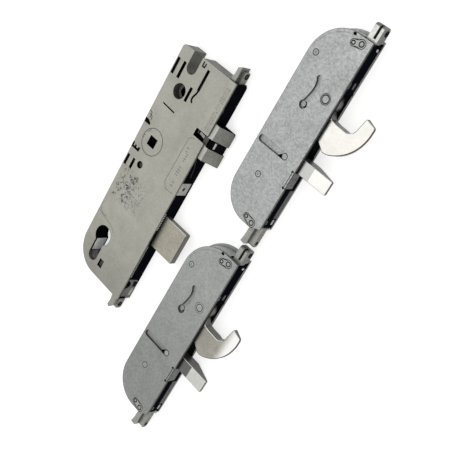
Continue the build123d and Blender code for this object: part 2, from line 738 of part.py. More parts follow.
def main_deadbolt():
    bolt = box(deadbolt_x0, deadbolt_x1, deadbolt_y0, deadbolt_y1, deadbolt_head_z0, bolt_z1)
    end_edges = bolt.edges().filter_by(Axis.Z).group_by(Axis.X)[-1]
    bolt = fillet(end_edges, deadbolt_corner_r)
    rim = bolt.faces().sort_by(Axis.Z)[-1].edges()
    bolt = chamfer(rim, deadbolt_edge)
    tail_x1 = case_edge - strip_thk - slide_gap
    bolt += box(deadbolt_x0, tail_x1, deadbolt_y0, deadbolt_y1, bolt_z0, deadbolt_head_z0)
    bolt -= rod(deadbolt_pin_x, deadbolt_pin_y, deadbolt_pin_r, deadbolt_pin_z0, bolt_z1 + 1)
    parts["main_deadbolt"] = bolt
    parts["main_deadbolt_pin"] = rod(deadbolt_pin_x, deadbolt_pin_y, deadbolt_pin_r, deadbolt_pin_z0, rail_z1)

    arm_deg = degrees(atan2(deadbolt_pin_y - lever_y, deadbolt_pin_x - lever_x))
    reach = hypot(deadbolt_pin_y - lever_y, deadbolt_pin_x - lever_x)
    lever = Pos(lever_x, lever_y) * Circle(lever_eye_r)
    lever += slot_between((lever_x, lever_y), polar(lever_x, lever_y, reach, arm_deg), lever_arm_w)
    lever += slot_between(
        (lever_x, lever_y), polar(lever_x, lever_y, lever_tail_len - lever_tail_r, lever_tail_deg),
        2 * lever_tail_r,
    )
    lever -= Pos(lever_x, lever_y) * Circle(lever_post_r + shaft_gap)
    lever -= swept_slot(
        (lever_x, lever_y), (deadbolt_pin_x, deadbolt_pin_y), (-deadbolt_stroke, 0), lever_swing,
        2 * (deadbolt_pin_r + pin_slot_gap),
    )
    parts["main_bolt_lever"] = raised(lever, rail_z0, rail_z1)


def underside_taper(x0, x1, y0, y1, z0, z1):
    """Wedge below a surface that rises from z0 at x0 to z1 at x1."""
    profile = Plane.XZ * make_face(Polyline((x0, z0 - 1), (x1, z0 - 1), (x1, z1), (x0, z0), close=True))
    return Pos(0, y1, 0) * extrude(profile, y1 - y0)


def hook_case_outline(inset=0.0, rise=0.0, edge=hc_edge):
    """Outline of a hook case, drawn in by inset; rise lifts its top."""
    left = hc_left + inset
    top = hc_top + rise - inset
    bottom = hc_bottom + inset
    r_top = hc_top_r - inset
    r_low = hc_bottom_r - inset
    low_edge = hc_bottom_edge_y + inset
    outline = [
        Line((edge, low_edge), (edge, top)),
        Line((edge, top), (left + r_top, top)),
        CenterArc((left + r_top, top - r_top), r_top, 90, 90),
        Line((left, top - r_top), (left, bottom + r_low)),
        CenterArc((left + r_low, bottom + r_low), r_low, 180, 90),
        Line((left + r_low, bottom), (edge - hc_foot_cut, bottom)),
        Line((edge - hc_foot_cut, bottom), (edge, low_edge)),
    ]
    return make_face(outline)


def key_outline(places, grow=0.0):
    """The 8-shaped key: two rounds of different size with a waist."""
    (x0, y0), (x1, y1) = places
    small = Pos(x0, y0) * Circle(key_small_r + grow)
    large = Pos(x1, y1) * Circle(key_large_r + grow)
    waist = slot_between((x0, y0), (x1, y1), 2 * (key_small_r - key_waist_drop + grow))
    return small + large + waist


def hook_outline():
    """Hook seen from the front, about its pivot."""
    throat = [*throat_points, throat_end[1], throat_end[2], nose_points[0]]
    root = [back_points[3], *root_points, throat_points[0]]
    claw = [
        Line(*throat[0:2]),
        Line(*throat[1:3]),
        ThreePointArc(throat_points[2], throat_end[0], throat_end[1]),
        Line(*throat[3:5]),
        Line(*throat[4:6]),
        ThreePointArc(*nose_points),
        ThreePointArc(nose_points[2], *back_points[0:2]),
        ThreePointArc(*back_points[1:4]),
    ]
    claw += [Line(a, b) for a, b in zip(root, root[1:])]
    return make_face(claw)


def hook_case(prefix, pivot):
    """All pieces of one hook case, placed with its hook pivot at the given point."""
    own = {}
    front_z0 = hc_thk - hc_plate
    strip_x0 = hc_edge - hc_strip

    tray = raised(hook_case_outline(0, hc_tray_rise), 0, hc_plate)
    wall_outer = hook_case_outline(0, 0, strip_x0)
    wall_inner = hook_case_outline(hc_wall, 0, strip_x0 + hc_wall)
    tray += raised(wall_outer - wall_inner, hc_plate, front_z0)
    tray -= box(
        hc_left - 1, hc_left + hc_wall + 1, sq_y0 - side_gap, sq_y1 + side_gap,
        sq_z0 - slide_gap, sq_z1 + slide_gap,
    )
    gate_x0, gate_depth = hc_gate_top
    tray -= box(gate_x0, hc_edge + 1, hc_top - gate_depth, hc_top + hc_tray_rise + 1, hc_plate, hc_thk)
    gate_x0, gate_depth = hc_gate_low
    tray -= box(gate_x0, hc_edge + 1, hc_bottom - 1, hc_bottom + gate_depth, hc_plate, hc_thk)
    for x, y in (rivet_a, rivet_c, (0, 0), key_top[0], key_bottom[0]):
        r = {rivet_a: case_rivet_r, rivet_c: case_rivet_r, (0, 0): pivot_r}.get((x, y), key_shank_r)
        tray -= rod(x, y, r, -1, hc_plate + 1)
    own["back_plate"] = tray

    plate = hook_case_outline()
    block_cut_w = 2 * (hc_edge - block_x0)
    plate -= Pos(block_x0 + block_cut_w / 2, (block_y0 + block_y1) / 2) * Rectangle(
        block_cut_w, block_y1 - block_y0
    )
    for y in (block_y0, block_y1):
        plate -= Pos(block_x0, y) * Circle(block_relief_r)
    plate -= Circle(pivot_flange_r)
    plate -= Pos(*rivet_a) * Circle(case_rivet_r)
    plate -= Pos(*rivet_c) * Circle(case_rivet_r)
    plate -= key_outline(key_top)
    plate -= key_outline(key_bottom)
    slot_end = (bolt_pin[0] - bolt_stroke, bolt_pin[1])
    plate -= slot_between(slot_end, bolt_pin, 2 * (pin_r + pin_slot_gap))
    plate -= Pos(drive_pin[0] + pin_window[0], drive_pin[1]) * Circle(pin_r + pin_window[1])
    plate -= trace(Spline(*arc_slot_points), arc_slot_w)
    plate -= Pos(*arc_slot_end) * Circle(arc_slot_end_r)
    own["front_plate"] = raised(plate, front_z0, hc_thk)

    strip = box(strip_x0, hc_edge, hc_strip_y0, hc_strip_y1, hc_plate, front_z0)
    strip -= box(
        strip_x0 - 1, hc_edge + 1, sq_y1 - side_gap, hook_window_y1,
        hook_z0 - slide_gap, hook_z1 + slide_gap,
    )
    strip -= box(
        strip_x0 - 1, hc_edge + 1, sq_y0 - side_gap, sq_y1 + side_gap,
        sq_z0 - slide_gap, sq_z1 + slide_gap,
    )
    strip -= box(strip_x0 - 1, hc_edge + 1, block_y0, block_y1, block_z0, front_z0 + 1)
    own["edge_strip"] = strip
    own["guide_block"] = box(block_x0, hc_edge, block_y0, block_y1, block_z0, hc_thk - flush_gap)

    rivets = []
    for x, y in (rivet_a, rivet_c):
        rivet = rod(x, y, case_rivet_r, 0, hc_thk) + rod(x, y, case_rivet_shoulder_r, hc_plate, front_z0)
        rivet -= rod(x, y, rivet_dimple_r, hc_thk - ring_depth, hc_thk + 1)
        rivets.append(rivet)
    own["case_rivets"] = Compound(children=rivets)

    keys = []
    for places in (key_top, key_bottom):
        key = raised(key_outline(places), front_z0, hc_thk)
        key += rod(*places[0], key_shank_r, 0, hc_thk)
        for (x, y), r in zip(places, key_ring_r):
            ring = Circle(r) - Circle(r - ring_w)
            key -= Pos(x, y) * raised(ring, hc_thk - ring_depth, hc_thk + 1)
        keys.append(key)
    own["end_keys"] = Compound(children=keys)

    pin = rod(0, 0, pivot_r, 0, hc_thk) + rod(0, 0, pivot_flange_r, hook_z1 + slide_gap, hc_thk)
    pin -= raised(Circle(pivot_ring_r + ring_w) - Circle(pivot_ring_r), hc_thk - ring_depth, hc_thk + 1)
    own["hook_pivot"] = pin

    arm_deg = degrees(atan2(drive_pin[1], drive_pin[0])) + hook_arm_lead
    arm_end = hypot(*drive_pin) + hook_arm_over
    hook = hook_outline() + Circle(hook_hub_r)
    hook += slot_between((0, 0), polar(0, 0, arm_end - hook_arm_w / 2, arm_deg), hook_arm_w)
    hook -= Circle(pivot_r + shaft_gap)
    hook -= swept_slot((0, 0), drive_pin, (0, rail_stroke), -hook_swing, 2 * (pin_r + pin_slot_gap))
    own["hook"] = raised(hook, hook_z0, hook_z1) - underside_taper(
        hook_taper_x0, hook_taper_x1, back_points[3][1] - 1, throat_end[2][1] + 1,
        hook_z0, hook_z1 - hook_tip_thk,
    )

    own["drive_pin"] = rod(*drive_pin, pin_r, drive_pin_z0, plate_z1)
    own["bolt_pin"] = rod(*bolt_pin, pin_r, bolt_pin_z0, hc_thk)
    bolt = box(sq_x0, sq_x1, sq_y0, sq_y1, sq_z0, sq_z1)
    end_edges = bolt.edges().filter_by(Axis.Z).group_by(Axis.X)[-1]
    bolt = fillet(end_edges, sq_corner_r)
    bolt = chamfer(bolt.faces().sort_by(Axis.Z)[-1].edges(), sq_edge)
    bolt -= rod(*bolt_pin, pin_r, bolt_pin_z0, sq_z1 + 1)
    bolt -= underside_taper(sq_taper_x0, sq_x1, sq_y0 - 1, sq_y1 + 1, sq_z0, sq_z1 - sq_tip_thk)
    own["square_bolt"] = bolt

    own.update(hook_drive(front_z0))
    place = Pos(pivot[0], pivot[1], 0)
    for name, solid in own.items():
        if isinstance(solid, Compound) and solid.children:
            parts[prefix + name] = Compound(children=[place * child for child in solid.children])
        else:
            parts[prefix + name] = place * solid


def hook_drive(front_z0):
    """Drive plate of a hook case, its two connectors and their rivets."""
    own = {}
    top_y = hc_top - hconn_end_gap
    bottom_y = hc_bottom_edge_y + hconn_end_gap
    link_mid = (link_x0 + link_x1) / 2
    leg_low = bolt_pin[1] + ramp_w / 2
    ramp_end = (bolt_pin[0] - bolt_stroke, bolt_pin[1] - rail_stroke)
    run_on = ramp_run_on / bolt_stroke
    slot_end = (ramp_end[0] - bolt_stroke * run_on, ramp_end[1] - rail_stroke * run_on)
    room_x0 = hc_left + hc_wall + slide_gap
    plate = slot_between(ramp_end, bolt_pin, ramp_w)
    for x0, x1, y0, y1 in (
        (link_x0, link_x1, cross_y0, top_y),
        (leg_x0, link_x1, cross_y0, cross_y1),
        (leg_x0, leg_x1, leg_low - leg_lap, cross_y1),
        (leg_x1, link_x1, leg_low - low_web_h, leg_low),
        (room_x0, leg_x0, bolt_pin[1] - wing_h / 2, bolt_pin[1] + wing_h / 2),
        (link_x0, link_x1, bottom_y, leg_low),
    ):
        plate += Pos((x0 + x1) / 2, (y0 + y1) / 2) * Rectangle(x1 - x0, y1 - y0)
    plate &= Pos((room_x0 + link_x1) / 2, 0) * Rectangle(link_x1 - room_x0, 2 * (hc_top - hc_bottom))
    plate -= slot_between(slot_end, bolt_pin, 2 * (pin_r + pin_slot_gap))
    plate -= slot_between(drive_pin, (drive_pin[0] + pin_relief, drive_pin[1]), 2 * pin_r)
    solid = raised(plate, plate_z0, plate_z1)

    head_y1 = hc_top + hconn_len
    top_conn = box(link_x0, hconn_stem_x1, hc_top - hconn_stem_len, top_y, hconn_z0, plate_z0)
    head = box(hconn_x0, hconn_x1, top_y, head_y1, hconn_z0, plate_z0)
    top_conn += fillet(head.edges().filter_by(Axis.X).group_by(Axis.Y)[-1], hconn_head_r)
    groove_in, groove_w, groove_start, groove_depth = hconn_groove
    groove_x = hconn_x0 + groove_in
    top_conn -= box(
        groove_x, groove_x + groove_w, hc_top + groove_start, head_y1 + 1,
        plate_z0 - groove_depth, plate_z0 + 1,
    )
    cross_y = head_y1 - hconn_cross_inset[0]
    top_conn -= cross_rod(hconn_x0 - 1, hconn_x1 + 1, cross_y, hconn_cross_z, conn_cross_r)

    foot_y0 = hc_bottom - hconn_foot_len
    low_conn = box(link_x0, hconn_stem_x1, bottom_y, hc_bottom + hconn_stem_len, hconn_z0, plate_z0)
    left_bar = [(x, bottom_y if y is None else foot_y0 + y) for x, y in left_bar_points]
    low_conn += raised(polygon(left_bar), hconn_z0, plate_z0)
    right_bar = box(
        hconn_split_x, hconn_low_x1, foot_y0 + hconn_low_r / 2, bottom_y,
        hconn_z0, plate_z0 - hconn_low_drop,
    )
    low_conn += fillet(right_bar.edges().filter_by(Axis.X).group_by(Axis.Y)[0], hconn_low_r)
    cross_y = foot_y0 + hconn_cross_inset[1]
    low_conn -= cross_rod(hconn_split_x, hconn_low_x1 + 1, cross_y, hconn_cross_z, conn_cross_r)

    rivets = []
    for inset in hconn_rivet_inset:
        for y in (top_y - inset, bottom_y + inset):
            hole = rod(link_mid, y, rivet_r, rivet_z0 + hconn_z0 - conn_z0, front_z0)
            solid -= hole
            top_conn -= hole
            low_conn -= hole
            rivets.append(rod(link_mid, y, rivet_r, rivet_z0 + hconn_z0 - conn_z0, plate_z1))
    own["drive_plate"] = solid
    own["top_connector"] = top_conn
    own["bottom_connector"] = low_conn
    own["connector_rivets"] = Compound(children=rivets)
    return own


main_shell()
main_cover()
main_strip()
main_fixings()
main_follower()
main_rail()
main_latch()
main_deadbolt()
hook_case("upper_", upper_pivot)
hook_case("lower_", lower_pivot)

os.makedirs("parts", exist_ok=True)
for name, solid in parts.items():
    export_step(solid, f"parts/{name}.step")
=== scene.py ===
import json
import math

import bmesh
import bpy
from mathutils import Matrix, Vector

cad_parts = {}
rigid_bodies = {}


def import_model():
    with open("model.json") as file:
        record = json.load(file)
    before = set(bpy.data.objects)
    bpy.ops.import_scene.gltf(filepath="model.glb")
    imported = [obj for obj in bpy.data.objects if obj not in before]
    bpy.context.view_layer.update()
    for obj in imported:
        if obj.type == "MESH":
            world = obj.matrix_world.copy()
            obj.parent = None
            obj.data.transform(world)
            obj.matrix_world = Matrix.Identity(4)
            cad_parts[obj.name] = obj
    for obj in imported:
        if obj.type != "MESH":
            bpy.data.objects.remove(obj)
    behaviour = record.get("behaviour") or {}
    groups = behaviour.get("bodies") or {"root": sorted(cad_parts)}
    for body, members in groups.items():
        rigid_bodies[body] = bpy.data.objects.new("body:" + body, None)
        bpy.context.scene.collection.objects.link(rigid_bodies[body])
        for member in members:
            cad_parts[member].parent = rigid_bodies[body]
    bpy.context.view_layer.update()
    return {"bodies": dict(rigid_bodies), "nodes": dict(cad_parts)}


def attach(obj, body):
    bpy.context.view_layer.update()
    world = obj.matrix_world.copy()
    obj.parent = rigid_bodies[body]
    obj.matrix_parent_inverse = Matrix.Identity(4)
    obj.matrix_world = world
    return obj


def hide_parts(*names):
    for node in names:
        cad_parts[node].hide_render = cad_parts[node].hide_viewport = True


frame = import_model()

# A multipoint lock set on its back: a gearbox case and two cases with a hook and a square bolt.
# Metres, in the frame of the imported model: +Y up the lock, +X the way the bolts throw, +Z out of the covers.
mm = 0.001
hookCases = ("upper_", "lower_")


# Small tools for node trees and meshes

def addNode(tree, kind, inputs=None, outlet=0, **settings):
    # gives the outlet that other nodes are wired to
    made = tree.nodes.new(kind)
    for key, value in settings.items():
        setattr(made, key, value)
    for key, value in (inputs or {}).items():
        if isinstance(value, bpy.types.NodeSocket):
            tree.links.new(value, made.inputs[key])
        else:
            made.inputs[key].default_value = value
    return made.outputs[outlet]


def mathNode(tree, operation, first, second, clamp=False):
    return addNode(tree, "ShaderNodeMath", {0: first, 1: second}, operation=operation, use_clamp=clamp)


def times(tree, first, second, clamp=False):
    return mathNode(tree, "MULTIPLY", first, second, clamp)


def plus(tree, first, second, clamp=False):
    return mathNode(tree, "ADD", first, second, clamp)


def minus(tree, first, second):
    return mathNode(tree, "SUBTRACT", first, second)


def objectPlace(tree):
    return addNode(tree, "ShaderNodeTexCoord", None, "Object")


def placeAlong(tree, axis):
    return addNode(tree, "ShaderNodeSeparateXYZ", {0: objectPlace(tree)}, axis)


def ramp(tree, axis, values, first=0, last=1):
    span = {0: placeAlong(tree, axis), 1: values["from"], 2: values["to"], 3: first, 4: last}
    return addNode(tree, "ShaderNodeMapRange", span, interpolation_type="SMOOTHSTEP")


def noise(tree, scale, detail=3, place=None, **more):
    inputs = {"Vector": place or objectPlace(tree), "Scale": scale, "Detail": detail, **more}
    return addNode(tree, "ShaderNodeTexNoise", inputs)


def rgba(tone):
    # one number stands for a grey
    return (*tone, 1) if isinstance(tone, tuple) else (tone, tone, tone, 1)


def mixColour(tree, amount, first, tone):
    return addNode(tree, "ShaderNodeMix", {0: amount, 6: first, 7: rgba(tone)}, 2, data_type="RGBA")


def backgroundRays(tree):
    # 1 for the rays that are to see the plain white background, 0 for the rays that light the lock
    rays = tree.nodes.new("ShaderNodeLightPath").outputs
    seen = mathNode(tree, "MAXIMUM", rays["Is Camera Ray"], rays["Is Glossy Ray"])
    return mathNode(tree, "MAXIMUM", seen, rays["Is Transmission Ray"])


def newGroup(name, inputs, output="Mask"):
    group = bpy.data.node_groups.new(name, "ShaderNodeTree")
    for label, value in inputs.items():
        socket = group.interface.new_socket(label, in_out="INPUT", socket_type="NodeSocketFloat")
        socket.default_value = value
    group.interface.new_socket(output, in_out="OUTPUT", socket_type="NodeSocketFloat")
    return group, group.nodes.new("NodeGroupInput").outputs


def endGroup(group, result):
    group.links.new(result, group.nodes.new("NodeGroupOutput").inputs[0])
    return group


def placeGroup(tree, name, values):
    return addNode(tree, "ShaderNodeGroup", values, node_tree=shaderGroups[name])


def linkObject(name, data):
    made = bpy.data.objects.new(name, data)
    bpy.context.scene.collection.objects.link(made)
    return made


def evaluatedMesh(piece):
    tree = bpy.context.evaluated_depsgraph_get()
    tree.update()
    return bpy.data.meshes.new_from_object(piece.evaluated_get(tree), depsgraph=tree)


# Camera, at the photograph's place and turn
cameraValues = {
    "right": (0.646, 0.4726, -0.5995),
    "up": (-0.6016, 0.7986, -0.0188),
    "back": (0.4699, 0.3728, 0.8002),
    "place": (0.3953, 0.2284, 0.5255),
    "lens": 69.25,
    "sensor": 36.0,
}


def makeCamera(values):
    camera = bpy.data.cameras.new("photoCamera")
    camera.lens = values["lens"]
    camera.sensor_width = values["sensor"]
    camera.sensor_fit = "HORIZONTAL"
    camera.clip_start = 0.01
    cameraObject = linkObject("photoCamera", camera)
    turn = Matrix((values["right"], values["up"], values["back"])).transposed()
    turn = turn.to_quaternion().normalized().to_matrix()
    cameraObject.matrix_world = Matrix.Translation(values["place"]) @ turn.to_4x4()
    bpy.context.scene.camera = cameraObject


makeCamera(cameraValues)
print("camera placed")


# Shader groups, each used by several finishes

def makeGrainGroup():
    # sand-blast grain of castings and plating, a height
    group, given = newGroup("grain", {"Scale": 900, "Coarse Scale": 140, "Coarse Share": 0.4}, "Height")
    place = objectPlace(group)
    fine = noise(group, given["Scale"], 3, place)
    coarse = noise(group, given["Coarse Scale"], 2, place)
    share = given["Coarse Share"]
    high = times(group, fine, minus(group, 1, share))
    return endGroup(group, plus(group, times(group, coarse, share), high))


def makeMottleGroup():
    # cloudy patches with speckle in them, a mask around one half
    group, given = newGroup("mottle", {
        "Patch Scale": 110, "Speckle Scale": 900, "Speckle Share": 0.5, "Contrast": 1,
    })
    place = objectPlace(group)
    patch = noise(group, given["Patch Scale"], 4, place, Distortion=0.6)
    speckle = {"Vector": place, "Scale": given["Speckle Scale"], "Randomness": 1}
    cells = addNode(group, "ShaderNodeTexVoronoi", speckle, "Color", feature="F1")
    tone = addNode(group, "ShaderNodeSeparateColor", {"Color": cells})
    share = given["Speckle Share"]
    calm = times(group, patch, minus(group, 1, share))
    both = plus(group, times(group, tone, share), calm)
    spread = times(group, minus(group, both, 0.5), given["Contrast"])
    return endGroup(group, plus(group, spread, 0.5, True))


def makeWearGroup():
    # bare bright metal on corners, broken up by noise
    group, given = newGroup("edgeWear", {"Radius": 0.4 * mm, "Amount": 1, "Breakup Scale": 300})
    rounded = addNode(group, "ShaderNodeBevel", {"Radius": given["Radius"]}, samples=6)
    flat = addNode(group, "ShaderNodeNewGeometry", None, "Normal")
    facing = addNode(group, "ShaderNodeVectorMath", {0: rounded, 1: flat}, "Value", operation="DOT_PRODUCT")
    bend = times(group, minus(group, 1, facing), 6, True)
    ragged = times(group, noise(group, given["Breakup Scale"]), 1.8)
    return endGroup(group, times(group, times(group, bend, ragged), given["Amount"], True))


def makeCreaseShadeGroup():
    # painted shade: ambient occlusion darkens gaps and inner corners
    group, given = newGroup("creaseShade", {"Distance": 1.5 * mm, "Amount": 1})
    light = addNode(group, "ShaderNodeAmbientOcclusion", {"Distance": given["Distance"]}, "AO", samples=8)
    return endGroup(group, times(group, minus(group, 1, light), given["Amount"], True))


def makeScratchGroup():
    # fine handling marks in two directions
    group, given = newGroup("scratches", {"Scale": 60, "Amount": 1})
    place = objectPlace(group)
    marks = []
    for turn, stretch in ((0.5, 26), (-1.1, 34)):
        drawn = {"Vector": place, "Rotation": (0, 0, turn), "Scale": (1, stretch, 1)}
        line = noise(group, given["Scale"], 2, addNode(group, "ShaderNodeMapping", drawn))
        marks.append(times(group, minus(group, line, 0.66), 9, True))
    both = mathNode(group, "MAXIMUM", *marks)
    return endGroup(group, times(group, both, given["Amount"], True))


def makeSmudgeGroup():
    # worn dark residue inside a rectangle of the X-Y plane, ragged at its rim
    group, given = newGroup("smudge", {
        "Left": 0, "Right": 1, "Low": 0, "High": 1, "Scale": 500, "Cut": 0.5, "Rim": 1.5 * mm,
    })
    x, y = placeAlong(group, 0), placeAlong(group, 1)
    nearest = minus(group, x, given["Left"])
    for high, low in ((y, given["Low"]), (given["Right"], x), (given["High"], y)):
        nearest = mathNode(group, "MINIMUM", nearest, minus(group, high, low))
    inside = mathNode(group, "DIVIDE", nearest, given["Rim"], True)
    patches = noise(group, given["Scale"], Roughness=0.6, Distortion=0.8)
    over = times(group, minus(group, patches, given["Cut"]), 14, True)
    return endGroup(group, times(group, over, inside, True))


shaderGroups = {
    "smudge": makeSmudgeGroup(),
    "grain": makeGrainGroup(),
    "mottle": makeMottleGroup(),
    "wear": makeWearGroup(),
    "creaseShade": makeCreaseShadeGroup(),
    "scratches": makeScratchGroup(),
}
print("shader groups built")
